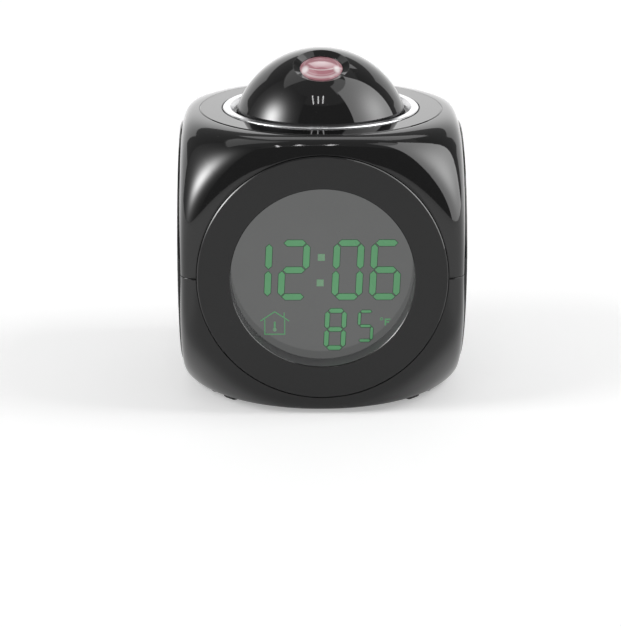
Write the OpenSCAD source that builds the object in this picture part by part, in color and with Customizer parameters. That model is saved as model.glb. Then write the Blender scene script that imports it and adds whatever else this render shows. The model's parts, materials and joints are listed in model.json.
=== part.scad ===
// Projection alarm clock: a rounded cube with six round panels, a display behind the front
// panel and a push-down dome that throws the time on to a ceiling.
// Millimetres. +Z is up, -Y is the front, and z = 0 is the surface the feet stand on.

/* [Body] */
// Width, depth and height of the cube over its flat faces
cube_w = 80.6; // [80:0.1:84]
// Thickness of the shell walls
wall = 2.2; // [2:0.1:2.8]
// Radius of the blend from a flat face to the rounded corners
edge_r = 5.8; // [4.8:0.1:7]
// Height of the feet below the flat bottom
foot_h = 0.3; // [0.3:0.1:2]
// Radius of a rubber foot
foot_r = 2.5; // [2:0.1:2.8]
// Distance of a foot from each centre plane
foot_at = 26; // [25.5:0.1:26.6]

/* [Round panels] */
// Radius of the round panel in each face
panel_r = 35.4; // [34.5:0.1:36]
// Flat land of the shell round each panel
panel_land = 0.3; // [0.3:0.1:1.4]
// Depth of the seat that a panel lies in
panel_seat = 1.2; // [1:0.1:1.4]
// Width of the ledge under the panel's rim
panel_ledge = 2; // [1.6:0.1:2.4]
// How far the side panels stand out of the cube
side_proud = 0.7; // [0.2:0.1:0.8]
// How far the front and rear panels stand out
front_proud = 0.3; // [0.1:0.1:0.6]
// Thickness of the locating ring behind a panel
panel_ring_t = 1.6; // [1.2:0.1:2]

/* [Display] */
// Radius of the display window
window_r = 26; // [24:0.25:26.5]
// Depth of the display glass behind the front panel's face
lcd_depth = 7; // [5:0.25:7.5]
// Thickness of the display glass
glass_t = 2.2; // [1.8:0.1:2.6]
// Thickness of the backlight
backlight_t = 2.5; // [2:0.1:3]
// Height of a time digit
digit_h = 18; // [14:0.5:19]
// Width of a time digit
digit_w = 8.9; // [8:0.1:9.2]
// Width of a segment's stroke in a time digit
stroke = 2.1; // [1.2:0.1:2.4]
// Slant of the digits, in degrees
slant = 2.5; // [0:0.5:4]

/* [Projector dome] */
// Outer radius of the dome's sphere
dome_r = 26; // [25:0.25:27]
// Depth of the sphere's centre below the top face
dome_drop = 8.8; // [8.5:0.1:9.6]
// Wall of the dome
dome_wall = 1.8; // [1.5:0.1:2.2]
// How far the dome goes down when it is pressed
dome_travel = 1.5; // [0.8:0.1:2]
// Width of the black ledge between the dome's well and the trim ring
trim_ledge = 0.9; // [0.8:0.1:1.4]
// Width of the trim ring's flat band
trim_band = 2.1; // [1.4:0.1:2.4]
// How far the trim ring stands above the top face
trim_proud = 0.35; // [0.2:0.05:0.6]
// Tilt of the light beam towards the front, in degrees
beam_tilt = 22; // [5:1:25]
// Radius of the visible lens
lens_r = 6.1; // [5:0.1:6.5]
// Radius of the countersink round the lens
lens_sink_r = 8.1; // [7.4:0.1:8.6]

/* [Battery bay] */
// Length of an AAA cell
cell_l = 44.5; // [44.5:0.1:45]
// Diameter of an AAA cell
cell_d = 10.5; // [10.5:0.1:10.8]
// Distance between the rows of cells
cell_pitch = 11.2; // [11:0.1:11.4]
// Length of a contact spring
contact_spring_l = 6.6; // [6:0.1:6.8]
// Distance of the bay's centre behind the middle of the clock
bay_y = 5.5; // [5.2:0.1:5.8]
// Thickness of the battery door
door_t = 1.5; // [1.2:0.1:1.8]
// Width of the ledge that the door lies on
door_ledge = 1; // [0.8:0.05:1.1]

/* [Controls] */
// Radius of the ends of the control panel
pill_r = 8; // [7.5:0.1:8.2]
// Distance from the middle to the centre of each end
pill_half = 14; // [13.6:0.1:14.2]
// Distance of the control panel in front of the middle
pill_y = 22.8; // [22.6:0.1:23]
// Radius of a button
button_r = 2.6; // [2.2:0.1:2.8]
// Distance between two buttons
button_pitch = 9; // [8.8:0.1:9.4]
// Travel of a button
button_travel = 0.6; // [0.3:0.1:0.8]
// Travel of the slide switch
slide_travel = 2; // [1.5:0.1:2.2]

/* [Fits and fasteners] */
// Gap round a panel in its seat
seam = 0.2; // [0.15:0.05:0.3]
// Gap between parts that move past each other
run_gap = 0.35; // [0.3:0.05:0.4]
// Play of a part that is placed by hand and stays put
loose = 0.1; // [0.05:0.05:0.2]
// Radius of the case screws
case_screw_r = 1.15; // [1:0.05:1.3]
// Distance of a case screw from the middle, across the clock
case_screw_x = 30.2; // [30.1:0.1:30.6]
// Distance of a case screw from the middle, front to back
case_screw_y = 20.4; // [19.8:0.1:20.6]
// Radius of the columns that the case screws go into
column_r = 2.8; // [2.4:0.1:2.9]
// Radius of the small inner screws
small_screw_r = 0.9; // [0.8:0.05:1]
// Thickness of the circuit boards
board_t = 1.6; // [1.2:0.1:1.6]

/* [Hidden] */
$fn = 96;
half = cube_w / 2;
mid_z = foot_h + half;
top_z = foot_h + cube_w;
flat_r = panel_r + panel_land;
corner_d = sqrt(pow(flat_r, 2) + pow(half - edge_r, 2));
corner_r = corner_d + edge_r - 0.1;

open_r = panel_r - panel_ledge;
ring_len = wall - panel_seat + 0.5;
ring_out = open_r - loose - 0.05;
ring_in = ring_out - panel_ring_t;
rim_chamfer = 0.3;

lcd_z = front_proud - lcd_depth;
lcd_half = window_r + 0.5;
tube_wall = 1.4;
window_chamfer = 0.2;
tray_wall = 0.85;
tray_half = lcd_half + loose + tray_wall;
tray_floor = 1.1;
tray_z = lcd_z - glass_t - backlight_t;
post_r = 1.7;
thread_r = small_screw_r + 0.05;
through_r = small_screw_r + 0.2;
screw_bite = 4;
post_at = lcd_half + post_r + 1.6;
post_angles = [-10, 10, 170, 190];
zebra_t = 1.6;
zebra_y = lcd_half - zebra_t / 2 - 0.3;
backlight_half = zebra_y - zebra_t / 2 - 1.1;
main_z = tray_z - tray_floor;
main_half = lcd_half + 1.3;
main_back_y = -half - main_z + board_t;
ear_r = 3;
print_t = 0.08;
digit_gap = 1.75;
colon_gap = 4.7;
temp_h = 12.7;
temp_w = 6.4;
row_gap = 2.35;

shelf_z = -1.6;
shelf_t = 1.8;
trim_gap = 0.4;
trim_slope = 0.94;
rim_h = 0.4;
rim_t = 1.3;
rim_r = sqrt(pow(dome_r, 2) - pow(dome_drop + rim_h, 2)) - 0.05;
collar_in = rim_r + run_gap;
trim_in = collar_in + trim_ledge;
trim_r = trim_in + trim_slope + trim_band;
collar_wall = 1.6;
collar_z = -9;
skirt_r = rim_r - 0.6;
dome_in = dome_r - dome_wall;
skirt_in = sqrt(pow(dome_in, 2) - pow(dome_drop + rim_h, 2)) - 0.02;
flange_t = 1.7;
flange_z = collar_z - 0.3 - flange_t;
flange_r = collar_in + collar_wall - 0.4;
top_board_z = flange_z - 10.8;
top_post_r = 2.2;
top_post_angles = [45, 135, 225, 315];
top_post_at = flange_r + top_post_r + 1.6;
top_board_r = top_post_at + top_post_r - 0.1;
top_hole_r = 13;
spring_angles = [90, 210, 330];
spring_at = (skirt_in + flange_r) / 2;
spring_r = 1.8;
spring_wire = 0.3;
tact_angle = 30;
tact_w = 6;
tact_h = 3.5;
plunger_r = 1.7;
plunger_h = 1;

sink_depth = 0.9;
sink_slope = (lens_sink_r - lens_r - loose) / sink_depth;
lip_u = sqrt(pow(dome_r, 2) - pow(lens_sink_r, 2)) - sink_depth;
lip_t = 0.6;
lens_sag = 1.2;
bore_r = lens_r + 1.3;
bore_u = lip_u - lip_t;
boss_r = bore_r + 1.8;
boss_u = bore_u - 6.6;
lens_flange_t = 1.2;
barrel_u = bore_u - lens_flange_t - 0.05;
barrel_foot_u = 3.2;
barrel_foot_t = 2;
lamp_r = 2.5;
slide_w = 11;
slide_t = 1.1;
lamp_tube_r = boss_r - 0.2;
lamp_board_u = barrel_foot_u - 8.5;
lamp_board_t = 1.2;
lamp_rim_t = 1;
lamp_tip_u = barrel_foot_u - slide_t - 0.3;

foot_chamfer = 0.5;
foot_sink = 1.4;
foot_skin = 0.2;

plate_t = 0.4;
plate_w = 9;
spring_big = 3.1;
spring_small = 1.9;
bay_l = cell_l + contact_spring_l + 2 * plate_t + 0.1;
bay_w = 3 * cell_pitch + 0.4;
bay_h = door_t + 0.3 + cell_d + 0.2;
bay_wall = 1;
mark_t = 0.35;
bay_z = foot_h + bay_h;
bay_top = bay_z + bay_wall;
bay_front = bay_y - bay_w / 2;
bay_rear = bay_y + bay_w / 2;
function row_y(j) = bay_front + 0.2 + cell_pitch * (j + 0.5);
door_l = bay_l + 2 * door_ledge;
door_front = bay_front - door_ledge;
door_rear = bay_rear + door_ledge;
door_gap = 0.3;
tab_r = 0.45;
tab_x = 16;
tab_w = 5;
pin_l = 0.6;
pin_fit = 0.07;
hinge_y = door_front - tab_r - 0.5;
hinge_z = foot_h + tab_r + 0.3;
slot_z = foot_h + door_t + 0.2;
swing_r = norm([door_front - hinge_y, hinge_z - foot_h]) + door_gap;
neck_l = swing_r + 0.4;
latch_w = 12;
latch_l = 4.5;
recess_w = 17;
recess_l = 9;
recess_h = 1.2;
hook_h = 4;
hook_t = 0.8;
hook_y = door_rear + hook_t / 2 + 0.45;
door_top = foot_h + door_t - 0.1;

panel_face_z = foot_h + 0.9;
pill_flange = 1;
pill_back_z = foot_h + wall + pill_flange;
button_names = [-1.5, -0.5, 0.5];
button_flange_r = button_r + 1;
button_flange_z = pill_back_z + 0.3;
button_flange_t = 0.8;
stem_r = 1.2;
stem_z = button_flange_z + button_flange_t + 1.6;
switch_z = stem_z + button_travel + 0.3 + plunger_h;
button_board_z = switch_z + tact_h;
button_board_w = 44;
button_board_l = 9.6;
button_board_y = -pill_y + 2;
panel_post_x = pill_half + 5.6;
panel_post_r = 1.8;
slide_x = 1.5 * button_pitch - 0.5;
knob_w = 2;
knob_l = 2.2;
slide_body_h = 4;
slide_body_w = 5.5;
slide_body_l = knob_l + slide_travel + 2.4;
slide_z = button_board_z - slide_body_h;
knob_foot = knob_w + 1.2;

column_z = foot_h + wall;
well_r = column_r - 0.7;
well_h = 1.4;
case_screw_bite = 9;

speaker_r = 18;
speaker_frame_t = 1.5;
speaker_depth = 9;
magnet_y = half - panel_seat - speaker_depth;
speaker_boss_at = speaker_r + 4.5;
speaker_angles = [90, 210, 330];
clamp_t = 1.2;
grille_pitch = 4.6;
grille_hole_r = 1;

// ---- helpers ----------------------------------------------------------------------------

// Local frames of the faces: x to the right and y up as seen from outside, z = 0 on the
// cube's flat face and +z pointing out of the clock.
module on_front() { translate([0, -half, mid_z]) rotate([90, 0, 0]) children(); }
module on_rear() { translate([0, half, mid_z]) rotate([90, 0, 180]) children(); }
module on_right() { translate([half, 0, mid_z]) rotate([90, 0, 90]) children(); }
module on_left() { translate([-half, 0, mid_z]) rotate([90, 0, -90]) children(); }
module on_top() { translate([0, 0, top_z]) children(); }

// Frame of the light beam: +z runs from the dome's centre out through the lens.
module along_beam() { translate([0, 0, top_z - dome_drop]) rotate([beam_tilt, 0, 0]) children(); }

// A tube or washer between two heights.
module tube(r_out, r_in, z_lo, z_hi) {
    translate([0, 0, z_lo]) difference() {
        cylinder(r = r_out, h = z_hi - z_lo);
        translate([0, 0, -1]) cylinder(r = r_in, h = z_hi - z_lo + 2);
    }
}

module rod(r, z_lo, z_hi) { translate([0, 0, z_lo]) cylinder(r = r, h = z_hi - z_lo); }

module block(size, z_lo, z_hi) {
    translate([-size[0] / 2, -size[1] / 2, z_lo]) cube([size[0], size[1], z_hi - z_lo]);
}

module at_corners(x, y) { for (i = [-1, 1], j = [-1, 1]) translate([i * x, j * y, 0]) children(); }

module at_angles(angles, r) { for (a = angles) translate([r * cos(a), r * sin(a), 0]) children(); }

// Round bar of radius r along a list of points, closed at both ends.
function unit(v) = v / norm(v);
function path_dir(p, i) = unit(p[min(i + 1, len(p) - 1)] - p[max(i - 1, 0)]);
function side_of(d) = unit(cross(d, abs(d[2]) < 0.9 ? [0, 0, 1] : [0, 1, 0]));
function ring_points(p, i, r, sides) =
    let (d = path_dir(p, i), a = side_of(d), b = cross(d, a))
    [for (k = [0:sides - 1]) p[i] + r * (cos(360 * k / sides) * a + sin(360 * k / sides) * b)];
module wire(p, r, sides = 6) {
    n = len(p);
    points = [for (i = [0:n - 1]) each ring_points(p, i, r, sides)];
    walls = [for (i = [0:n - 2], k = [0:sides - 1])
        let (a = i * sides + k, b = i * sides + (k + 1) % sides) [a, a + sides, b + sides, b]];
    ends = [[for (k = [0:sides - 1]) k],
            [for (k = [0:sides - 1]) (n - 1) * sides + sides - 1 - k]];
    polyhedron(points, concat(walls, ends), convexity = 10);
}

// Helix along +z from 0 to h, with its radius going from r0 to r1.
function helix(h, turns, r0, r1, steps) =
    [for (i = [0:turns * steps]) let (t = i / (turns * steps), a = 360 * i / steps, r = r0 + (r1 - r0) * t)
        [r * cos(a), r * sin(a), h * t]];

// Pan-head screw pointing up +z, with its seat at z = 0 and a cross in its head.
module screw(r, l, head_r, head_h) {
    difference() {
        union() {
            cylinder(r = r, h = l);
            translate([0, 0, -head_h]) cylinder(r = head_r, h = head_h);
        }
        for (a = [0, 90]) rotate([0, 0, a])
            block([head_r * 1.2, head_r * 0.35], -head_h - 1, -head_h * 0.45);
    }
}

// ---- the rounded cube -------------------------------------------------------------------

// One pair of flat faces blended into the corners, as a solid of revolution.
module puck(h, e) {
    ledge = (half - edge_r) * (h - half + edge_r + corner_d) / corner_d;
    rotate_extrude() intersection() {
        union() {
            translate([0, -h]) square([flat_r, 2 * h]);
            for (s = [-1, 1]) translate([flat_r, s * (h - e)]) circle(r = e);
            translate([0, -ledge]) square([cube_w, 2 * ledge]);
        }
        translate([0, -cube_w]) square([2 * cube_w, 2 * cube_w]);
    }
}

// The rounded cube, centred on the origin, with every face moved in by inset.
module rounded_cube(inset = 0) {
    h = half - inset;
    e = edge_r - inset;
    intersection() {
        sphere(r = corner_r - inset);
        puck(h, e);
        rotate([90, 0, 0]) puck(h, e);
        rotate([0, 90, 0]) puck(h, e);
    }
}

// What a round panel takes out of the shell, in a face's frame.
module panel_hole() {
    rod(open_r, -wall - edge_r, 1);
    rod(panel_r + seam, -panel_seat, edge_r);
}

// A round panel with its locating ring, in a face's frame.
module round_panel(proud) {
    rotate_extrude() polygon([
        [0, -panel_seat], [ring_in, -panel_seat], [ring_in, -panel_seat - ring_len],
        [ring_out, -panel_seat - ring_len], [ring_out, -panel_seat], [panel_r, -panel_seat],
        [panel_r, proud - rim_chamfer], [panel_r - rim_chamfer, proud], [0, proud]]);
}

module half_shell(upper) {
    difference() {
        translate([0, 0, mid_z]) difference() {
            rounded_cube();
            rounded_cube(wall);
        }
        translate([-cube_w, -cube_w, upper ? mid_z - 2 * cube_w : mid_z])
            cube([2 * cube_w, 2 * cube_w, 2 * cube_w]);
        on_front() panel_hole();
        on_rear() panel_hole();
        on_left() panel_hole();
        on_right() panel_hole();
        if (upper) on_top() panel_hole();
    }
}

module upper_shell() {
    color("#141416") difference() {
        union() {
            half_shell(true);
            at_corners(case_screw_x, case_screw_y) rod(column_r, column_z, top_z - panel_seat - 0.5);
        }
        at_corners(case_screw_x, case_screw_y)
            rod(case_screw_r + 0.05, column_z - 1, column_z + case_screw_bite + 2);
    }
}

// ---- bottom: battery bay, controls and feet ---------------------------------------------

module pill(r, z_lo, z_hi) {
    translate([0, -pill_y, z_lo]) {
        for (s = [-1, 1]) translate([s * pill_half, 0, 0]) cylinder(r = r, h = z_hi - z_lo);
        block([2 * pill_half, 2 * r], 0, z_hi - z_lo);
    }
}

// Round bar on the door's hinge line, from -l to +l.
module hinge_pin(r, l) {
    translate([-l, hinge_y, hinge_z]) rotate([0, 90, 0]) cylinder(r = r, h = 2 * l, $fn = 32);
}

// Everything that is open in the bottom of the lower shell.
module bottom_cuts() {
    translate([0, bay_y, 0]) block([bay_l, bay_w], foot_h - 1, bay_z);
    translate([0, bay_y, 0]) block([door_l, bay_w + 2 * door_ledge], foot_h - 1, foot_h + door_t);
    for (s = [-1, 1]) translate([s * tab_x, 0, 0]) {
        translate([0, hinge_y + 0.5, 0])
            block([tab_w + 2 * door_gap, 2 * (tab_r + door_gap) + 1], foot_h - 1, slot_z);
        hinge_pin(tab_r + pin_fit, tab_w / 2 + door_gap + pin_l + 0.1);
    }
    translate([0, door_rear + recess_l / 2, 0])
        block([recess_w, recess_l + 0.02], foot_h - 1, foot_h + recess_h);
    translate([0, hook_y, 0]) block([latch_w - 1, hook_t + 0.9], foot_h - 1, foot_h + wall + 1);
    pill(pill_r + seam, foot_h - 1, foot_h + wall + 1);
    at_corners(case_screw_x, case_screw_y) {
        rod(well_r, foot_h - 1, foot_h + well_h);
        rod(case_screw_r + 0.25, foot_h - 1, column_z + 1);
        rod(column_r + seam, column_z, column_z + edge_r);
    }
    at_corners(foot_at, foot_at) rod(foot_r + loose, foot_h - 1, foot_h + foot_sink);
}

module lower_shell() {
    color("#141416") difference() {
        union() {
            half_shell(false);
            translate([0, bay_y, 0])
                block([bay_l + 2 * bay_wall, bay_w + 2 * bay_wall], foot_h + 1, bay_top);
        }
        bottom_cuts();
        for (j = [0:2]) battery_mark(j);
    }
}

// Outline of a cell and its plus sign, sunk in the ceiling of the bay.
module battery_mark(j) {
    flip = j == 1 ? -1 : 1;
    translate([-flip * 1.5, row_y(j), bay_z - 0.01]) {
        mark_frame([22.6, 5.6]);
        translate([-flip * 12.4, 0, 0]) mark_frame([2.4, 3]);
        translate([-flip * 17.6, 0, 0]) {
            block([2.6, mark_t], 0, mark_t);
            block([mark_t, 2.6], 0, mark_t);
            tube(1.95, 1.95 - mark_t, 0, mark_t);
        }
    }
}

// Thin sunk line round a rectangle.
module mark_frame(size) {
    difference() {
        block(size, 0, mark_t);
        block(size - 2 * [mark_t, mark_t], -1, 1);
    }
}

// The pads follow the rounding of the corners, so they hardly show from the front.
module feet() {
    color("#0b0b0b") intersection() {
        at_corners(foot_at, foot_at) rotate_extrude() polygon([
            [0, 0], [foot_r - foot_chamfer, 0], [foot_r, foot_chamfer],
            [foot_r, foot_h + foot_sink], [0, foot_h + foot_sink]]);
        translate([0, 0, mid_z]) sphere(r = corner_r + foot_skin);
    }
}

module battery_door() {
    color("#1b1b1d") difference() {
        union() {
            difference() {
                translate([0, bay_y, 0]) block(
                    [door_l - 2 * door_gap, bay_w + 2 * door_ledge - 2 * door_gap], foot_h, door_top);
                hinge_pin(swing_r, door_l);
            }
            for (s = [-1, 1]) translate([s * tab_x, 0, 0]) {
                hinge_pin(tab_r, tab_w / 2 + door_gap + pin_l);
                translate([0, hinge_y + neck_l / 2, 0])
                    block([tab_w, neck_l], hinge_z - tab_r, door_top);
            }
            translate([0, door_rear + latch_l / 2 - 0.5, 0])
                block([latch_w, latch_l + 1], foot_h, foot_h + recess_h - 0.3);
            translate([0, hook_y, 0]) block([latch_w - 2, hook_t], foot_h, foot_h + hook_h);
        }
        for (i = [0:3]) translate([0, door_rear - 6 - 1.6 * i, 0])
            block([latch_w + 2 - 2 * i, 0.7], foot_h - 1, foot_h + 0.3);
    }
}

module contact_plates() {
    z_lo = foot_h + door_t + 0.5;
    z_hi = bay_z - 0.3;
    x = bay_l / 2 - plate_t / 2;
    color("#b9bcc0") {
        translate([-x, row_y(0), 0]) block([plate_t, plate_w], z_lo, z_hi);
        translate([-x, (row_y(1) + row_y(2)) / 2, 0]) block([plate_t, plate_w + cell_pitch], z_lo, z_hi);
        translate([x, (row_y(0) + row_y(1)) / 2, 0]) block([plate_t, plate_w + cell_pitch], z_lo, z_hi);
        translate([x, row_y(2), 0]) block([plate_t, plate_w], z_lo, z_hi);
    }
}

module contact_springs() {
    wire_r = 0.3;
    z = bay_z - 0.2 - cell_d / 2;
    color("#c8cbd0") for (j = [0:2]) {
        s = j == 1 ? -1 : 1;
        translate([s * (bay_l / 2 - plate_t - wire_r), row_y(j), z])
            rotate([0, -90 * s, 0])
            wire(helix(contact_spring_l - 2 * wire_r, 5, spring_big, spring_small, 14), wire_r);
    }
}

module control_panel() {
    color("#3a3a3c") difference() {
        union() {
            pill(pill_r, panel_face_z, pill_back_z);
            pill(pill_r + 1, foot_h + wall, pill_back_z);
            for (s = [-1, 1]) translate([s * panel_post_x, button_board_y, 0])
                rod(panel_post_r, pill_back_z, button_board_z);
        }
        for (n = button_names) translate([n * button_pitch, -pill_y, 0])
            rod(button_r + run_gap, foot_h, pill_back_z + 1);
        translate([slide_x, -pill_y, 0])
            block([knob_w + 0.6, knob_l + slide_travel + 0.6], foot_h, pill_back_z + 1);
        for (s = [-1, 1]) translate([s * panel_post_x, button_board_y, 0])
            rod(thread_r, button_board_z - screw_bite - 1, button_board_z + 1);
    }
}

module button(i) {
    color("#454547") translate([button_names[i] * button_pitch, -pill_y, 0]) {
        rotate_extrude() polygon([
            [0, panel_face_z - 0.4], [button_r - 0.3, panel_face_z - 0.4], [button_r, panel_face_z - 0.1],
            [button_r, button_flange_z], [button_flange_r, button_flange_z],
            [button_flange_r, button_flange_z + button_flange_t],
            [stem_r, button_flange_z + button_flange_t], [stem_r, stem_z], [0, stem_z]]);
    }
}

module hour_button() { button(0); }
module minute_button() { button(1); }
module mode_button() { button(2); }

// The knob rests at the front end of its travel, and slides to the rear.
module switch_knob() {
    color("#101011") translate([slide_x, -pill_y - slide_travel / 2, 0]) {
        block([knob_w, knob_l], panel_face_z + 0.3, slide_z + 1.8);
        block([knob_foot, knob_l + 1], slide_z + 0.8, slide_z + 1.8);
    }
}

module slide_switch() {
    color("#9a9da1") translate([slide_x, -pill_y, 0]) difference() {
        block([slide_body_w, slide_body_l], slide_z, button_board_z);
        block([knob_w + 0.6, knob_l + slide_travel + 0.6], slide_z - 1, slide_z + 1);
        block([knob_foot + 0.6, knob_l + 1 + slide_travel + 0.6], slide_z + 0.5, slide_z + 2.1);
    }
}

// A push switch under each button, with its round plunger down.
module button_switches() {
    color("#2b2b2d") for (n = button_names) translate([n * button_pitch, -pill_y, 0]) {
        block([tact_w, tact_w], switch_z, button_board_z);
        rod(plunger_r, switch_z - plunger_h, switch_z);
    }
}

module button_board() {
    color("#1f6b3c") difference() {
        translate([0, button_board_y, 0])
            block([button_board_w, button_board_l], button_board_z, button_board_z + board_t);
        for (s = [-1, 1]) translate([s * panel_post_x, button_board_y, 0])
            rod(through_r, button_board_z - 1, button_board_z + board_t + 1);
    }
}

// ---- display ----------------------------------------------------------------------------

module front_bezel() {
    color("#2c2c2e") on_front() difference() {
        union() {
            round_panel(front_proud);
            rod(window_r + tube_wall, lcd_z, 0);
            at_angles(post_angles, post_at) rod(post_r, tray_z, -panel_seat);
        }
        rod(window_r, lcd_z - 1, 2);
        translate([0, 0, front_proud - window_chamfer])
            cylinder(r1 = window_r, r2 = window_r + 3 * window_chamfer, h = 3 * window_chamfer);
        at_angles(post_angles, post_at) rod(thread_r, tray_z - 1, tray_z + screw_bite + 1);
    }
}

module lcd_glass() {
    color("#6a6c6b") on_front() block([2 * lcd_half, 2 * lcd_half], lcd_z - glass_t, lcd_z);
}

// One bar of a digit: a flat hexagon from a to b with pointed ends, less a small gap.
module bar(a, b, w) {
    d = unit(b - a);
    n = [-d[1], d[0]];
    g = w * 0.05;
    p = a + g * d;
    q = b - g * d;
    polygon([p, p + w / 2 * (d + n), q + w / 2 * (n - d), q, q - w / 2 * (d + n), p + w / 2 * (d - n)]);
}

// A seven-bar digit, w wide and h high over its outside, with its lower left corner at [0, 0].
TIME = [1, 2, 0, 6];
BARS = ["abcdef", "bc", "abdeg", "abcdg", "bcfg", "acdfg", "acdefg", "abc", "abcdefg", "abcdfg"];
module digit(value, w, h, t) {
    l = t / 2;
    r = w - t / 2;
    lo = t / 2;
    m = h / 2;
    hi = h - t / 2;
    ends = [[[l, hi], [r, hi]], [[r, m], [r, hi]], [[r, lo], [r, m]], [[l, lo], [r, lo]],
            [[l, lo], [l, m]], [[l, m], [l, hi]], [[l, m], [r, m]]];
    names = "abcdefg";
    for (i = [0:6]) if (len(search(names[i], BARS[value])) > 0) bar(lean(ends[i][0]), lean(ends[i][1]), t);
}
function lean(p) = [p[0] + tan(slant) * p[1], p[1]];

// A line of constant width between two points.
module line(a, b, w) {
    d = unit(b - a);
    n = w / 2 * [-d[1], d[0]];
    polygon([a + n, b + n, b - n, a - n]);
}

// House with a chimney and a thermometer: the sign for the indoor temperature.
module house() {
    w = 0.3;
    line([0, 4.1], [4.1, 6.9], w);
    line([4.1, 6.9], [8.2, 4.1], w);
    difference() {
        translate([1.1, 0]) square([6, 4.6]);
        translate([1.1 + w, w]) square([6 - 2 * w, 4.8]);
    }
    line([6.8, 5.3], [6.8, 6.6], w);
    translate([4.1, 1.5]) circle(r = 0.55);
    line([4.1, 1.9], [4.1, 3.9], 0.5);
}

module lcd_segments() {
    pitch = digit_w + digit_gap;
    time_x = -2 * pitch - colon_gap / 2 + 0.1;
    time_y = -digit_h / 2 + 0.6;
    small_y = time_y - temp_h - row_gap;
    color("#62a873") on_front() translate([0, 0, lcd_z]) linear_extrude(print_t) {
        for (i = [0:3]) translate([time_x + i * pitch + (i > 1 ? colon_gap : 0), time_y])
            digit(TIME[i], digit_w, digit_h, stroke);
        for (y = [0.29, 0.71])
            translate([time_x + 2 * pitch + (colon_gap - digit_gap - stroke) / 2 + tan(slant) * digit_h * y,
                       time_y + digit_h * y - stroke / 2])
            square(stroke - 0.1);
        translate([-2.76 * temp_w, small_y + 0.375 * temp_h]) house();
        translate([0.04 * temp_w, small_y]) digit(8, temp_w, temp_h, 0.75 * stroke);
        translate([1.53 * temp_w, small_y + 0.19 * temp_h])
            digit(5, 0.74 * temp_w, 0.77 * temp_h, stroke / 2);
        translate([2.65 * temp_w, small_y + 0.74 * temp_h]) difference() {
            circle(r = 0.45);
            circle(r = 0.25);
        }
        translate([2.79 * temp_w, small_y + 0.59 * temp_h]) {
            square([0.4, 2]);
            translate([0, 1.6]) square([1.6, 0.4]);
            translate([0, 0.8]) square([1.3, 0.4]);
        }
    }
}

module backlight() {
    color("#dfe6ea") on_front()
        block([2 * lcd_half - 2, 2 * backlight_half], tray_z, lcd_z - glass_t);
}

module zebra_strips() {
    color("#d98fa0") on_front() for (s = [-1, 1]) translate([0, s * zebra_y, 0])
        block([2 * lcd_half - 5, zebra_t], main_z, lcd_z - glass_t);
}

module lcd_tray() {
    color("#e8e8e6") on_front() difference() {
        union() {
            block([2 * tray_half, 2 * tray_half], main_z, lcd_z - 0.4);
            at_angles(post_angles, post_at) rod(ear_r, main_z, tray_z);
        }
        block([2 * (lcd_half + loose), 2 * (lcd_half + loose)], tray_z, lcd_z);
        for (s = [-1, 1]) translate([0, s * zebra_y, 0])
            block([2 * lcd_half - 5 + 2 * loose, zebra_t + 2 * loose], main_z - 1, tray_z + 1);
        at_angles(post_angles, post_at) {
            rod(through_r, main_z - 1, tray_z + 1);
            rod(post_r + loose, tray_z, lcd_z);
        }
    }
}

module main_board() {
    color("#1f6b3c") on_front() difference() {
        union() {
            block([2 * main_half, 2 * main_half], main_z - board_t, main_z);
            at_angles(post_angles, post_at) rod(ear_r, main_z - board_t, main_z);
        }
        at_angles(post_angles, post_at) rod(through_r, main_z - board_t - 1, main_z + 1);
    }
}

// What is soldered to the main board: the controller under its drop of resin, a crystal,
// two capacitors and a row of resistors.
module main_board_parts() {
    back = main_z - board_t;
    color("#26262a") on_front() {
        translate([0, 4, 0]) rod(6, back - 1.3, back);
        translate([14, 6, 0]) block([3, 8], back - 1.6, back);
        for (x = [-16, -9]) translate([x, -12, 0]) rod(2.5, back - 5, back);
        for (i = [0:4]) translate([4 + 4 * i, -8, 0]) block([1.6, 3.2], back - 0.6, back);
    }
}

module temperature_sensor() {
    back = main_z - board_t;
    color("#7a2e22") on_front() translate([-22, -16, 0]) {
        translate([0, 0, back - 5]) sphere(r = 1.4, $fn = 32);
        for (x = [-0.7, 0.7]) translate([x, 0, 0]) rod(0.25, back - 5, back);
    }
}

// ---- plain panels, speaker and its cover ------------------------------------------------

module left_panel() { color("#141416") on_left() round_panel(side_proud); }
module right_panel() { color("#141416") on_right() round_panel(side_proud); }

// Rings of sound holes, each ring with six more than the one inside it.
module grille_holes() {
    for (k = [0:3]) for (i = [0:max(6 * k, 1) - 1]) rotate([0, 0, 360 * i / max(6 * k, 1)])
        translate([k * grille_pitch, 0, 0]) rod(grille_hole_r, -panel_seat - 1, 2);
}

module rear_cover() {
    color("#141416") on_rear() difference() {
        union() {
            round_panel(front_proud);
            tube(speaker_r + 1.5, speaker_r + 0.2, -panel_seat - speaker_frame_t, -panel_seat);
            at_angles(speaker_angles, speaker_boss_at)
                rod(2, -panel_seat - speaker_frame_t, -panel_seat);
        }
        grille_holes();
        at_angles(speaker_angles, speaker_boss_at)
            rod(thread_r, -panel_seat - speaker_frame_t - 1, -panel_seat + 0.6);
    }
}

module speaker() {
    color("#4a4a4d") on_rear() rotate_extrude() polygon([
        [0, -panel_seat - 3], [8, -panel_seat - 2.6], [16, -panel_seat - 0.4],
        [16, -panel_seat], [speaker_r, -panel_seat], [speaker_r, -panel_seat - speaker_frame_t],
        [16.3, -panel_seat - speaker_frame_t], [13.5, -panel_seat - speaker_frame_t - 1],
        [11, -panel_seat - speaker_depth + 3],
        [11, -panel_seat - speaker_depth], [0, -panel_seat - speaker_depth]]);
}

module speaker_clamp() {
    z = -panel_seat - speaker_frame_t;
    color("#8d9096") on_rear() difference() {
        tube(speaker_boss_at + 2.5, speaker_r - 1.5, z - clamp_t, z);
        at_angles(speaker_angles, speaker_boss_at) rod(through_r, z - 2, z + 1);
    }
}

// ---- top and projector ------------------------------------------------------------------

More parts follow.
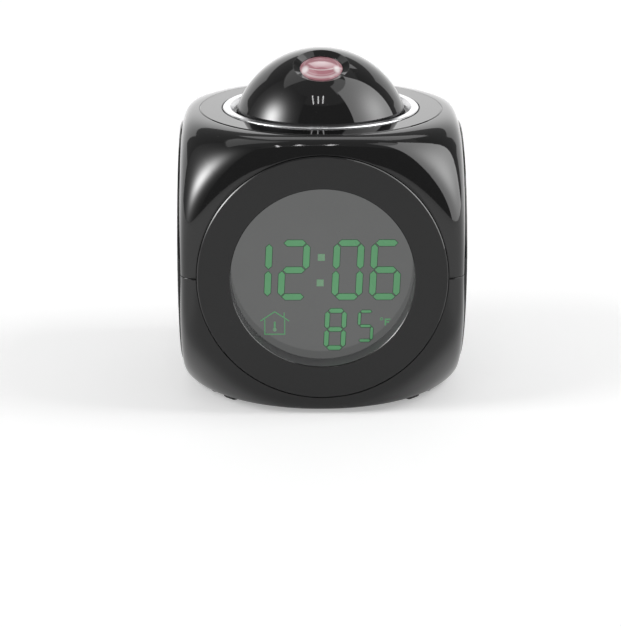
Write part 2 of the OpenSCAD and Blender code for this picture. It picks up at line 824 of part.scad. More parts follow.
module top_panel() {
    color("#141416") on_top() difference() {
        union() {
            rotate_extrude() polygon([
                [trim_r + trim_gap, 0], [panel_r - rim_chamfer, 0], [panel_r, -rim_chamfer],
                [panel_r, -panel_seat], [ring_out, -panel_seat], [ring_out, shelf_z - shelf_t],
                [collar_in + collar_wall, shelf_z - shelf_t], [collar_in + collar_wall, collar_z],
                [collar_in, collar_z], [collar_in, shelf_z - 0.3], [collar_in + 0.3, shelf_z],
                [trim_r + trim_gap, shelf_z]]);
            at_angles(top_post_angles, top_post_at)
                rod(top_post_r, top_board_z, shelf_z - shelf_t + 0.5);
        }
        at_angles(top_post_angles, top_post_at)
            rod(thread_r, top_board_z - 1, top_board_z + screw_bite + 1);
    }
}

module trim_ring() {
    color("#d5d7da") on_top() rotate_extrude() polygon([
        [trim_in, shelf_z], [trim_r, shelf_z], [trim_r, trim_proud - 0.25],
        [trim_r - 0.25, trim_proud], [trim_in + trim_slope, trim_proud], [trim_in, shelf_z + 0.6]]);
}

module projector_dome() {
    color("#0f0f11") {
        difference() {
            union() {
                on_top() rotate_extrude() difference() {
                    union() {
                        intersection() {
                            translate([0, -dome_drop]) circle(r = dome_r);
                            translate([0, rim_h]) square([dome_r, dome_r]);
                        }
                        translate([0, rim_h - rim_t]) square([rim_r, rim_t]);
                        translate([0, flange_z]) square([skirt_r, rim_h - rim_t - flange_z]);
                        translate([0, flange_z]) square([flange_r, flange_t]);
                    }
                    intersection() {
                        translate([0, -dome_drop]) circle(r = dome_in);
                        translate([0, rim_h]) square([dome_r, dome_r]);
                    }
                    translate([0, flange_z - 1]) square([skirt_in, rim_h - flange_z + 1]);
                    translate([-dome_r, flange_z - 1]) square([dome_r, 3 * dome_r]);
                }
                along_beam() intersection() {
                    rod(boss_r, boss_u, dome_r + 1);
                    sphere(r = dome_r - 0.4);
                }
                on_top() {
                    at_angles(spring_angles, spring_at) rod(spring_r - 0.6, flange_z - 2.5, flange_z + 0.5);
                    at_angles([tact_angle], spring_at)
                        rod(1.6, top_board_z + tact_h + plunger_h + dome_travel + 0.3, flange_z + 0.5);
                }
            }
            along_beam() {
                rod(bore_r, boss_u - 1, bore_u);
                rod(lens_r + loose, bore_u - 1, lip_u + 1);
                translate([0, 0, lip_u])
                    cylinder(r1 = lens_r + loose, r2 = lens_r + loose + 2.5 * sink_slope, h = 2.5);
            }
        }
    }
}

module projector_lens() {
    ball = (pow(lens_r, 2) + pow(lens_sag, 2)) / (2 * lens_sag);
    edge_u = lip_u - loose;
    color("#e7b9b6") along_beam() {
        rod(bore_r - loose, bore_u - lens_flange_t - 0.05, bore_u - 0.05);
        rod(lens_r, bore_u - 0.5, edge_u);
        intersection() {
            translate([0, 0, edge_u + lens_sag - ball]) sphere(r = ball);
            rod(lens_r, edge_u - 0.3, edge_u + lens_sag + 1);
        }
    }
}

module lens_barrel() {
    color("#202022") along_beam() difference() {
        union() {
            rod(bore_r - loose, barrel_foot_u, barrel_u);
            rod(lamp_tube_r, barrel_foot_u, barrel_foot_u + barrel_foot_t);
        }
        rod(bore_r - 1.8, barrel_foot_u + 1, barrel_u + 1);
        block([slide_w - 3, slide_w - 3], barrel_foot_u - 1, barrel_foot_u + 2);
    }
}

// Small display that the lamp shines through.
module time_slide() {
    color("#8a9aa8") along_beam()
        block([slide_w, slide_w], barrel_foot_u - slide_t, barrel_foot_u);
}

module lamp_tube() {
    color("#202022") along_beam()
        tube(lamp_tube_r, slide_w * sqrt(2) / 2 + 0.1, lamp_board_u, barrel_foot_u);
}

module projector_lamp() {
    color("#d23a32") along_beam() {
        rod(lamp_r, lamp_board_u + lamp_rim_t, lamp_tip_u - lamp_r);
        intersection() {
            translate([0, 0, lamp_tip_u - lamp_r]) sphere(r = lamp_r);
            rod(lamp_r + 1, lamp_tip_u - lamp_r - 0.5, lamp_tip_u + 1);
        }
        rod(lamp_r + 0.4, lamp_board_u, lamp_board_u + lamp_rim_t);
    }
}

module lamp_board() {
    color("#1f6b3c") along_beam() rod(lamp_tube_r, lamp_board_u - lamp_board_t, lamp_board_u);
}

module dome_springs() {
    h = flange_z - top_board_z - 2 * spring_wire;
    color("#c8cbd0") on_top() at_angles(spring_angles, spring_at)
        translate([0, 0, top_board_z + spring_wire])
        wire(helix(h, 6, spring_r, spring_r, 12), spring_wire);
}

module top_board() {
    color("#1f6b3c") on_top() difference() {
        intersection() {
            rod(top_board_r, top_board_z - board_t, top_board_z);
            translate([-cube_w / 2, main_back_y + 2.2, top_board_z - 5]) cube([cube_w, cube_w, 10]);
        }
        rod(top_hole_r, top_board_z - board_t - 1, top_board_z + 1);
        at_angles(top_post_angles, top_post_at)
            rod(through_r, top_board_z - board_t - 1, top_board_z + 1);
    }
}

module dome_switch() {
    color("#2b2b2d") on_top() at_angles([tact_angle], spring_at) {
        block([tact_w, tact_w], top_board_z, top_board_z + tact_h);
        rod(plunger_r, top_board_z + tact_h, top_board_z + tact_h + plunger_h);
    }
}

// ---- wiring -----------------------------------------------------------------------------

lead_r = 0.5;

// Flat cable bent once: out of the main board at height z0 and then up or down to z1.
module ribbon(x, y, z0, z1, w) {
    t = 0.4;
    translate([x - w / 2, 0, 0]) {
        translate([0, main_back_y, z0 - t / 2]) cube([w, y - main_back_y + t / 2, t]);
        translate([0, y - t / 2, min(z0 - t / 2, z1)]) cube([w, t, abs(z1 - z0) + t / 2]);
    }
}

module panel_ribbon() {
    top = button_board_z + board_t;
    color("#b8b8ba") ribbon(-4, main_back_y + 6.4, top + 5, top, 9);
}

module top_ribbon() {
    under = top_z + top_board_z - board_t;
    color("#b8b8ba") ribbon(-8, main_back_y + 7.2, under - 6, under, 7);
}

module speaker_leads() {
    color("#a8322c") for (x = [-2, 2]) wire([
        [x, main_back_y, mid_z - 5], [x, main_back_y + 3, mid_z - 5], [x - 6, -half / 3, mid_z - 11],
        [x - 9, -half / 8, mid_z - 15], [x - 9, half / 7, mid_z - 15], [x - 7, half / 3, mid_z - 11],
        [x - 4, magnet_y - 7, mid_z - 6], [x, magnet_y - 3, mid_z - 4], [x, magnet_y, mid_z - 4]], lead_r);
}

module battery_leads() {
    color("#a8322c") for (s = [-1, 1]) wire([
        [s * 12, main_back_y, bay_top + 8], [s * 12, main_back_y + 3, bay_top + 8],
        [s * 14, bay_front - 4, bay_top + 6], [s * 17, bay_front + 2, bay_top + 4.5],
        [s * 19, bay_front + 6, bay_top + 3], [s * 19, bay_front + 6.5, bay_top + 1.5],
        [s * 19, bay_front + 6.5, bay_top]], lead_r);
}

// ---- fasteners --------------------------------------------------------------------------

module case_screws() {
    color("#c0c3c8") at_corners(case_screw_x, case_screw_y) translate([0, 0, foot_h + well_h])
        screw(case_screw_r, wall - well_h + case_screw_bite, well_r - 0.1, well_h - 0.1);
}

module small_screw(bite) { screw(small_screw_r, bite, 1.7, 1.1); }

module small_screws() {
    speaker_z = -panel_seat - speaker_frame_t - clamp_t;
    color("#c0c3c8") {
        on_front() at_angles(post_angles, post_at) translate([0, 0, main_z - board_t])
            small_screw(board_t + tray_floor + screw_bite);
        on_top() at_angles(top_post_angles, top_post_at) translate([0, 0, top_board_z - board_t])
            small_screw(board_t + screw_bite);
        for (s = [-1, 1]) translate([s * panel_post_x, button_board_y, button_board_z + board_t])
            rotate([180, 0, 0]) small_screw(board_t + screw_bite);
        on_rear() at_angles(speaker_angles, speaker_boss_at) translate([0, 0, speaker_z])
            small_screw(clamp_t + speaker_frame_t + 0.4);
    }
}

upper_shell();
lower_shell();
front_bezel();
left_panel();
right_panel();
rear_cover();
top_panel();
trim_ring();
feet();
lcd_glass();
lcd_segments();
backlight();
lcd_tray();
zebra_strips();
main_board();
main_board_parts();
projector_dome();
projector_lens();
lens_barrel();
time_slide();
lamp_tube();
projector_lamp();
lamp_board();
dome_springs();
top_board();
dome_switch();
control_panel();
hour_button();
minute_button();
mode_button();
switch_knob();
slide_switch();
button_switches();
button_board();
contact_plates();
contact_springs();
battery_door();
speaker();
speaker_clamp();
temperature_sensor();
panel_ribbon();
top_ribbon();
speaker_leads();
battery_leads();
case_screws();
small_screws();
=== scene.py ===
# %% [markdown]
# # A projection alarm clock, dressed for a picture
# The clock is a glossy black rounded cube with a push-down dome on top. Its construction comes ready made as a
# packed model, the frame. This lesson gives it smooth shells, finishes, light and a camera. Places and sizes are
# worked out from the frame where it gives them, so a change in the construction moves the looks with it. The few
# that it doesn't give, such as a wall's thickness, are named values.

# %% Load the frame
import json
import math

import bmesh
import bpy
import numpy as np
from mathutils import Matrix, Vector


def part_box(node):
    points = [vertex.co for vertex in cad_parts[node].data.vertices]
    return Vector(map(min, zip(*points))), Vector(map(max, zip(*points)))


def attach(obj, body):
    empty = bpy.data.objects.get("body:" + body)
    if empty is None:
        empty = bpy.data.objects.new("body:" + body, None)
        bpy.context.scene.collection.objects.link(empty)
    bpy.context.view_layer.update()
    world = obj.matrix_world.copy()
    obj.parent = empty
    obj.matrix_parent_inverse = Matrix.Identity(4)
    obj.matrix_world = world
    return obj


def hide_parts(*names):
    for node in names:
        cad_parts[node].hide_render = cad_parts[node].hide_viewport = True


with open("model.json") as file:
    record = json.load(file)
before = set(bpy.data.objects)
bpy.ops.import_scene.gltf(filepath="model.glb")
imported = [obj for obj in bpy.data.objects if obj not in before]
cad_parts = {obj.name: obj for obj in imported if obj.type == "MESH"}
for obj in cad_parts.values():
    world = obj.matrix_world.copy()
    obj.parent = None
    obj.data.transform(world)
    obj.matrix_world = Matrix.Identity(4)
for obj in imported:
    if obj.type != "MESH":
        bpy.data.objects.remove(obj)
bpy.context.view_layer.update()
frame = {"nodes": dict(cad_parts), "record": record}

MM = 0.001
nodes = frame["nodes"]

# %% [markdown]
# ## Reading sizes from the frame
# A node's box gives most of what the looks need: how wide the body is, how high its middle lies, how big a panel
# is. Everything below is in millimetres, and turned into metres when a mesh is made.


# %% Sizes of the body
def extent(node):
    """Lowest and highest corner of a node, in millimetres, as two arrays."""
    low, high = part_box(node)
    return np.array(low) / MM, np.array(high) / MM


shell_low, shell_high = extent("upper_shell")
floor_low, _ = extent("lower_shell")
HALF = (shell_high[0] - shell_low[0]) / 2
BOTTOM_Z = floor_low[2]
TOP_Z = shell_high[2]
MID_Z = (BOTTOM_Z + TOP_Z) / 2
BODY = np.array([0, 0, MID_Z])
panel_low, panel_high = extent("left_panel")
PANEL_R = (panel_high[1] - panel_low[1]) / 2
glass_low, glass_high = extent("lcd_glass")
GLASS_LAP = 0.5  # how far the display's glass reaches past the window
WINDOW_R = (glass_high[0] - glass_low[0]) / 2 - GLASS_LAP
WALL = 2.2  # thickness of the shells
SEAT = 1.2  # depth of the ledge that carries a panel
LEDGE = 2  # width of that ledge
OPEN_R = PANEL_R - LEDGE
SEAM = 0.13  # gap round a panel
TOP_SEAM = 0.04  # the same round the top panel
print("half", round(HALF, 2), "panel", round(PANEL_R, 2), "window", round(WINDOW_R, 2), "mid", round(MID_Z, 2))

# %% [markdown]
# ## Putting arrays into meshes
# A surface here is a grid of points: a function of two parameters, worked out for all points at once. The helper
# below turns such grids into one mesh. Neighbouring grids share their edge points, so a merge closes them.


# %% Grids to meshes
def grid_faces(rows, cols, start=0):
    """Corner numbers of the quads of a grid whose points run row by row: i, i+1, i+cols+1, i+cols."""
    first = (np.arange(rows - 1)[:, None] * cols + np.arange(cols - 1)[None, :]).ravel() + start
    return np.stack([first, first + 1, first + cols + 1, first + cols], axis=1)


def mesh_from_grids(name, grids):
    """One mesh of several point grids in millimetres, each an array of rows x columns x 3."""
    points = np.concatenate([g.reshape(-1, 3) for g in grids]) * MM
    starts = np.cumsum([0] + [g.shape[0] * g.shape[1] for g in grids])
    quads = np.concatenate([grid_faces(g.shape[0], g.shape[1], s) for g, s in zip(grids, starts)])
    mesh = bpy.data.meshes.new(name)
    mesh.from_pydata(points, [], quads)
    return mesh


def close_mesh(mesh, weld=2e-7):
    """Merges equal points, fills what is still open and turns every face outward."""
    work = bmesh.new()
    work.from_mesh(mesh)
    bmesh.ops.remove_doubles(work, verts=work.verts, dist=weld)
    bmesh.ops.dissolve_degenerate(work, edges=work.edges, dist=weld / 2)
    rim = [e for e in work.edges if e.is_boundary]
    if rim:
        bmesh.ops.holes_fill(work, edges=rim, sides=0)
    bmesh.ops.recalc_face_normals(work, faces=work.faces)
    work.to_mesh(mesh)
    work.free()
    return mesh


def smooth(mesh, sharp_deg=28):
    """Shades a mesh smooth, and keeps edges that turn by more than sharp_deg."""
    mesh.shade_smooth()
    mesh.set_sharp_from_angle(angle=math.radians(sharp_deg))
    return mesh


def place(name, mesh, body, slot, *replaced):
    """Links a finished mesh as a piece that rides on a body and stands for the named nodes."""
    piece = bpy.data.objects.new(name, mesh)
    bpy.context.scene.collection.objects.link(piece)
    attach(piece, body)
    if replaced:
        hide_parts(*replaced)
    print(name, len(mesh.vertices), "points,", len(mesh.polygons), "faces")
    return piece


# %% [markdown]
# ## The shape of the shells
# The real shells are moulded as a cube that swells into a ball at its corners, with no edge between flat and
# round. A formula that does this is a sum of high powers: it stays near zero inside a face's reach and climbs
# steeply past it, so whichever limit is nearest wins, softly. Along each direction the surface lies where the
# sum reaches one. The side faces reach a little further than the others, nearly flush with their panels, and the
# ball is a little smaller toward the table.

# %% The rounded cube's formula
SIDE_SWELL, TOP_SWELL = 0.4, 0.05  # how far the side faces and the top reach past HALF
FACE_POWER, LOW_FACE_POWER = 20, 34
BALL_POWER, LOW_BALL_POWER = 32, 72
BALL_R, LOW_BALL_R = 57.9, 56.1
LOW_SLOPE = 0.55  # a direction's downward slope at which the low values hold in full
NEWTON_STEPS = 30


def rounded(direction, inset=0.0, drop=0.0):
    """Points where the sum of (|x|/half)^p over x, y, z, plus (r/ball)^q, is 1; p, q and ball change downward."""
    down = direction[..., 2] < 0
    half_up = np.where(down, HALF + drop, HALF + TOP_SWELL)
    halves = np.stack([np.full_like(half_up, HALF + SIDE_SWELL), np.full_like(half_up, HALF), half_up], -1) - inset
    low = np.clip(-direction[..., 2] / np.linalg.norm(direction, axis=-1) / LOW_SLOPE, 0, 1)
    low = low**2 * (3 - 2 * low)  # a smooth step from 0 to 1
    p = FACE_POWER + (LOW_FACE_POWER - FACE_POWER) * low
    q = BALL_POWER + (LOW_BALL_POWER - BALL_POWER) * low
    ball = BALL_R + (LOW_BALL_R - BALL_R) * low - inset
    flat, length = np.abs(direction / halves), np.linalg.norm(direction, axis=-1) / ball
    reach = 1 / np.maximum(flat.max(-1), length)
    for _ in range(NEWTON_STEPS):
        a = ((flat * reach[..., None]) ** p[..., None]).sum(-1)
        b = (length * reach) ** q
        reach = reach * (1 - (a + b - 1) / (p * a + q * b))
    return direction * reach[..., None]


FACES = {
    "front": ((0, -1, 0), (1, 0, 0), (0, 0, 1)),
    "right": ((1, 0, 0), (0, 1, 0), (0, 0, 1)),
    "rear": ((0, 1, 0), (-1, 0, 0), (0, 0, 1)),
    "left": ((-1, 0, 0), (0, -1, 0), (0, 0, 1)),
    "top": ((0, 0, 1), (1, 0, 0), (0, 1, 0)),
    "bottom": ((0, 0, -1), (1, 0, 0), (0, -1, 0)),
}
test = rounded(np.array([[0, 0, 1.0], [1, 1, 0], [1, 1, 1]]))
print("reach along face, edge and corner:", np.linalg.norm(test, axis=1).round(2))

# %% [markdown]
# ## One face of the shell
# Each face has a round hole for its panel. A polar grid fits that: one parameter goes round the hole, the other
# runs from the cube's edge to the hole's rim, down the rim, over the ledge that carries the panel, and back along
# the inside. All six faces use the same steps round, so they meet point to point.

# %% Polar grid of a face
STEPS_ROUND = 384
ROWS_OUT = 26
RIM_SOFT = 0.10  # size of the softened edge round a panel's hole
CORRECTIONS = 12


def face_point(face, radius_uv, angle, inset):
    """Point of the rounded cube seen from its middle at polar place (radius_uv, angle) of a face's plane."""
    normal, across, up = (np.array(v, float) for v in FACES[face])
    uv = radius_uv[..., None] * (np.cos(angle)[..., None] * across + np.sin(angle)[..., None] * up)
    return rounded(normal + uv, inset)


def at_radius(face, radius, angle, inset):
    """Polar place whose surface point lies radius from the face's axis, by repeated correction."""
    normal = np.array(FACES[face][0], float)
    place_uv = np.full_like(angle, radius / HALF)
    for _ in range(CORRECTIONS):
        point = face_point(face, place_uv, angle, inset)
        off_axis = np.linalg.norm(point - (point @ normal)[..., None] * normal, axis=-1)
        place_uv = place_uv * radius / off_axis
    return place_uv


def surface_rows(face, radius, angle, inset, rows):
    """Rows of points from the face's square border in to a circle of the given radius."""
    border = 1 / np.maximum(np.abs(np.cos(angle)), np.abs(np.sin(angle)))
    inner = at_radius(face, radius, angle, inset)
    share = np.linspace(0, 1, rows)[:, None]
    return face_point(face, border + (inner - border) * share, np.broadcast_to(angle, (rows, len(angle))), inset)


def ring_row(face, radius, depth, angle):
    """A circle of points at a radius and a depth below the face; the depth may change round the circle."""
    normal, across, up = (np.array(v, float) for v in FACES[face])
    ring = np.cos(angle)[:, None] * across + np.sin(angle)[:, None] * up
    level = np.broadcast_to(HALF - depth, angle.shape)
    return (radius * ring + level[:, None] * normal)[None]


def panel_face(face, angle):
    """Whole wall of a face with its panel seat: outside, rim, ledge and inside, as one grid."""
    gap, soft = (TOP_SEAM, TOP_SEAM) if face == "top" else (SEAM, RIM_SOFT)
    outside = surface_rows(face, PANEL_R + gap + soft, angle, 0, ROWS_OUT)
    normal = np.array(FACES[face][0], float)
    rim_depth = HALF - outside[-1] @ normal
    rim = [ring_row(face, PANEL_R + gap + soft * 0.3, rim_depth + soft * 0.3, angle),
           ring_row(face, PANEL_R + gap, rim_depth + soft, angle)]
    ledge = [ring_row(face, PANEL_R + gap, SEAT, angle), ring_row(face, OPEN_R, SEAT, angle)]
    inside = surface_rows(face, OPEN_R, angle, WALL, 6)[::-1]
    return np.concatenate([outside, *rim, *ledge, inside])


print("one face is a grid of", panel_face("front", np.linspace(0, math.tau, 9)).shape)

# %% [markdown]
# ## The two halves
# The real body is two mouldings that meet half way up in a fine line. Extra grid steps on both sides of that
# line let the edges be pulled in a little, so that light catches the line as it does on the real clock. The upper
# half takes the side faces above the line and the top; the lower half takes the rest.

# %% Half shells
PARTING = 0.12  # how far from the line points still move
PARTING_DEPTH, PARTING_GAP = 0.16, 0.015
NEAR_LINE = np.array([0.0011, 0.0032])  # extra steps beside the line, in radians
PLAIN_R = 20.0  # the bottom's middle, inside this radius, is one flat face


def steps_round(first, last, parted):
    """Angles from first to last in degrees, with close extra steps beside the parting line where parted."""
    angle = np.radians(np.linspace(first, last, round((last - first) / 360 * STEPS_ROUND) + 1))
    if parted:
        extra = np.concatenate([angle[0] + NEAR_LINE, angle[-1] - NEAR_LINE])
        angle = np.sort(np.concatenate([angle, extra]))
    return angle


def pull_parting(grids, sign):
    """Chamfers the border at the parting line: points within PARTING of it move in by as much as they are near."""
    for grid in grids:
        near = np.clip(1 - np.abs(grid[..., 2]) / PARTING, 0, 1)
        outer = np.linalg.norm(grid, axis=-1)
        grid *= (1 - PARTING_DEPTH * near / outer)[..., None]
        grid[..., 2] += sign * PARTING_GAP * (near > 0.99)
    return grids


def half_shell_grids(upper):
    """Grids of one half: four side faces cut at the parting line, and the top or bottom face."""
    first, last = (0, 180) if upper else (-180, 0)
    sides = [panel_face(f, steps_round(first, last, True)) for f in ("front", "right", "rear", "left")]
    pull_parting(sides, 1 if upper else -1)
    full = steps_round(-180, 180, False)
    if upper:
        return [*sides, panel_face("top", full)]
    return [*sides, surface_rows("bottom", PLAIN_R, full, 0, 40), surface_rows("bottom", PLAIN_R, full, WALL, 12)]


def solid_of_body(inset, drop=0.0):
    """Closed rounded cube without openings, for trimming other solids to the body's shape."""
    full = steps_round(-180, 180, False)
    border = 1 / np.maximum(np.abs(np.cos(full)), np.abs(np.sin(full)))
    grids = []
    for face in FACES:
        normal, across, up = (np.array(v, float) for v in FACES[face])
        share = np.linspace(1, 0.002, 60)[:, None] * border
        uv = share[..., None] * (np.cos(full)[:, None] * across + np.sin(full)[:, None] * up)
        grids.append(rounded(normal + uv, inset, drop) + BODY)
    return close_mesh(mesh_from_grids("body_solid", grids))


def half_shell_mesh(name, upper):
    """Closed mesh of a half shell, in the frame's place."""
    grids = [g + BODY for g in half_shell_grids(upper)]
    return close_mesh(mesh_from_grids(name, grids))


upper_mesh = half_shell_mesh("upper_shell_skin", True)
lower_mesh = half_shell_mesh("lower_shell_skin", False)
print(len(upper_mesh.polygons), "and", len(lower_mesh.polygons), "faces")

# %% [markdown]
# ## Cutting the bottom
# The bottom has a battery bay, a pill-shaped opening, screw wells and foot sockets. The construction has all of
# them already, so they are taken from it: a drum of the space near the bottom, less the construction's shell,
# leaves exactly the openings, and the new shell less those openings has them too. The bay's box and the screw
# columns are then added from the same source, and the foot pads are cut to the new shell's rounding.


# %% Joining and cutting solids
def copy_of_node(node):
    """A merged copy of a node's mesh, for cutting."""
    mesh = nodes[node].data.copy()
    close_mesh(mesh, weld=1e-6)
    return mesh


def combine(base, other, operation):
    """Union, difference or intersection of two closed meshes."""
    pair = [bpy.data.objects.new("work", m) for m in (base, other)]
    for o in pair:
        bpy.context.scene.collection.objects.link(o)
    cut = pair[0].modifiers.new("cut", "BOOLEAN")
    cut.operation, cut.solver, cut.object = operation, "MANIFOLD", pair[1]
    view = bpy.context.evaluated_depsgraph_get()
    mesh = bpy.data.meshes.new_from_object(pair[0].evaluated_get(view))
    for o in pair:
        bpy.data.objects.remove(o)
    return mesh


def drum(radius, z_low, z_high, steps=256):
    """Closed cylinder: a circle carried up the z axis, with both ends closed."""
    turn = np.linspace(0, math.tau, steps + 1)
    ring = np.stack([radius * np.cos(turn), radius * np.sin(turn)], axis=-1)
    rows = [np.concatenate([ring, np.full((steps + 1, 1), z)], axis=1) for z in (z_low, z_high)]
    return close_mesh(mesh_from_grids("drum", [np.stack(rows)]))


def box_mesh(low, high):
    """Closed box between two corners."""
    x, y, z = zip(low, high)
    ring = np.array([(x[0], y[0]), (x[1], y[0]), (x[1], y[1]), (x[0], y[1]), (x[0], y[0])])
    rows = [np.concatenate([ring, np.full((5, 1), level)], axis=1) for level in z]
    return close_mesh(mesh_from_grids("box", [np.stack(rows)]))


# %% Openings, bay and columns from the construction
_, foot_high = extent("feet")
door_low, door_high = extent("battery_door")
_, plate_high = extent("contact_plates")
EDGE_MARGIN = 0.9  # the drum stays this far inside the feet's corners, short of the rounded edge
DRUM_LOW, DRUM_HIGH = BOTTOM_Z - 0.3, BOTTOM_Z + WALL + 0.5
BAY_LOW = BOTTOM_Z + 1.0
BAY_MARGIN, LATCH_SPACE, BAY_ABOVE = 1.0, 3, 3  # round the door, left out at its latch, and over the plates
COLUMN_REACH = 33.2  # the columns lie within this of both middle planes
COLUMN_LOW, COLUMN_HIGH = MID_Z - 38, TOP_Z - 4
bottom_space = drum(math.hypot(foot_high[0], foot_high[1]) - EDGE_MARGIN, DRUM_LOW, DRUM_HIGH)
openings = combine(bottom_space, copy_of_node("lower_shell"), "DIFFERENCE")
lower_mesh = combine(lower_mesh, openings, "DIFFERENCE")
bay_space = box_mesh((door_low[0] - BAY_MARGIN, door_low[1] - BAY_MARGIN, BAY_LOW),
                     (-door_low[0] + BAY_MARGIN, door_high[1] - LATCH_SPACE, plate_high[2] + BAY_ABOVE))
bay = combine(copy_of_node("lower_shell"), bay_space, "INTERSECT")
lower_mesh = combine(lower_mesh, bay, "UNION")
columns_space = box_mesh((-COLUMN_REACH, -COLUMN_REACH, COLUMN_LOW), (COLUMN_REACH, COLUMN_REACH, COLUMN_HIGH))
columns = combine(copy_of_node("upper_shell"), columns_space, "INTERSECT")
columns = combine(columns, solid_of_body(WALL / 2), "INTERSECT")
upper_mesh = combine(upper_mesh, columns, "UNION")
upper_skin = place("upper_shell_skin", smooth(upper_mesh), "case", "black_shell", "upper_shell")
lower_skin = place("lower_shell_skin", smooth(lower_mesh), "case", "black_shell", "lower_shell")
PAD_SKIN, PAD_DROP = 0.1, 1.0  # the pads stand this far out of the skin, and reach this far down
pads = combine(copy_of_node("feet"), solid_of_body(-PAD_SKIN, drop=PAD_DROP), "INTERSECT")
foot_pads = place("foot_pads", smooth(pads), "case", "rubber_foot", "feet")

# %% [markdown]
# ## Effects that many finishes share
# No real surface has one colour and one gloss all over. Moulded plastic has a faint grain, corners are rubbed,
# and fine dust settles on whatever faces up. The rubbed edges are also painted lighter, a painted highlight along
# every sharp edge. Each of these is a node group made once, and every material places the ones it needs with its
# own numbers.


# %% A small builder for node groups
class Graph:
    """Adds nodes to a tree, with values and links given by socket name."""

    def __init__(self, tree):
        self.tree = tree

    def add(self, kind, settings=None, **inputs):
        """A new node; settings are its own options, and an input named _3 is the fourth socket."""
        node = self.tree.nodes.new(kind)
        for key, value in (settings or {}).items():
            setattr(node, key, value)
        for key, value in inputs.items():
            self.feed(node, key, value)
        return node

    def feed(self, node, key, value):
        """Gives one input a link or a fixed value."""
        by_number = key[0] == "_" and key[1:].isdigit()
        socket = node.inputs[int(key[1:]) if by_number else key.replace("_", " ")]
        if isinstance(value, bpy.types.NodeSocket):
            self.tree.links.new(value, socket)
        else:
            socket.default_value = value

    def math(self, operation, a, b=0.0, clamp=False):
        """One step of arithmetic on numbers or links."""
        return self.add("ShaderNodeMath", {"operation": operation, "use_clamp": clamp}, _0=a, _1=b).outputs[0]

    def ramp(self, value, low, high, out_low=0.0, out_high=1.0):
        """A smooth step from out_low to out_high while the value goes from low to high."""
        node = self.add("ShaderNodeMapRange", {"interpolation_type": "SMOOTHSTEP"}, Value=value)
        for key, number in (("From Min", low), ("From Max", high), ("To Min", out_low), ("To Max", out_high)):
            node.inputs[key].default_value = number
        return node.outputs[0]

    def mix(self, share, a, b):
        """Colour a, turned into b by a share from 0 to 1."""
        return self.add("ShaderNodeMix", {"data_type": "RGBA"}, _0=share, _6=a, _7=b).outputs[2]


def effect(name, inputs, outputs):
    """An empty node group with named number or vector inputs and outputs; returns its graph, entry and exit."""
    tree = bpy.data.node_groups.new(name, "ShaderNodeTree")
    for key, default in inputs.items():
        kind = "NodeSocketVector" if default is None else "NodeSocketFloat"
        socket = tree.interface.new_socket(key, in_out="INPUT", socket_type=kind)
        if default is not None:
            socket.default_value = default
    for key in outputs:
        kind = "NodeSocketVector" if key == "Normal" else "NodeSocketFloat"
        tree.interface.new_socket(key, in_out="OUTPUT", socket_type=kind)
    graph = Graph(tree)
    return graph, graph.add("NodeGroupInput").outputs, graph.add("NodeGroupOutput")


print("the builder can", [word for word in vars(Graph) if word[0] != "_"])


# %% Moulded grain
def make_grain():
    """Height = fine noise + weaker coarse noise; Drift = slow noise from 0 to 1, for tone and gloss."""
    g, given, result = effect("moulded_grain", {"Place": None, "Grain Scale": 4000.0}, ("Height", "Drift"))
    fine = g.add("ShaderNodeTexNoise", Vector=given["Place"], Scale=given["Grain Scale"], Detail=2.0)
    coarse = g.add("ShaderNodeTexNoise", Vector=given["Place"], Scale=g.math("MULTIPLY", given["Grain Scale"], 0.13))
    slow = g.add("ShaderNodeTexNoise", Vector=given["Place"], Scale=45.0, Detail=3.0)
    height = g.math("ADD", fine.outputs[0], g.math("MULTIPLY", coarse.outputs[0], 0.6))
    g.feed(result, "Height", height)
    g.feed(result, "Drift", g.ramp(slow.outputs[0], 0.3, 0.7))
    return g.tree


moulded_grain = make_grain()
print(moulded_grain.name, "gives", [s.name for s in moulded_grain.interface.items_tree if s.in_out == "OUTPUT"])


# %% Rubbed edges, also a painted highlight along them
def make_rub_and_sheen():
    """Mask = how far a rounded-off normal turns from the plain one, broken by noise; Normal = the rounded one."""
    g, given, result = effect("edge_rub_and_sheen", {"Place": None, "Reach": 0.00018, "Amount": 0.5}, ("Mask", "Normal"))
    rounded_off = g.add("ShaderNodeBevel", {"samples": 4}, Radius=given["Reach"]).outputs[0]
    plain = g.add("ShaderNodeNewGeometry").outputs["Normal"]
    along = g.add("ShaderNodeVectorMath", {"operation": "DOT_PRODUCT"}, _0=rounded_off, _1=plain).outputs["Value"]
    over = g.math("MULTIPLY", g.math("SUBTRACT", 1.0, along), 8.0, clamp=True)
    patchy = g.add("ShaderNodeTexNoise", Vector=given["Place"], Scale=380.0, Detail=4.0)
    broken = g.ramp(patchy.outputs[0], 0.36, 0.62, 0.25, 1.0)
    # The mask lightens edges in the finishes: partly wear, partly a painted highlight.
    g.feed(result, "Mask", g.math("MULTIPLY", g.math("MULTIPLY", over, broken), given["Amount"], clamp=True))
    g.feed(result, "Normal", rounded_off)
    return g.tree


edge_rub_and_sheen = make_rub_and_sheen()
print(edge_rub_and_sheen.name, "has", len(edge_rub_and_sheen.nodes), "nodes")


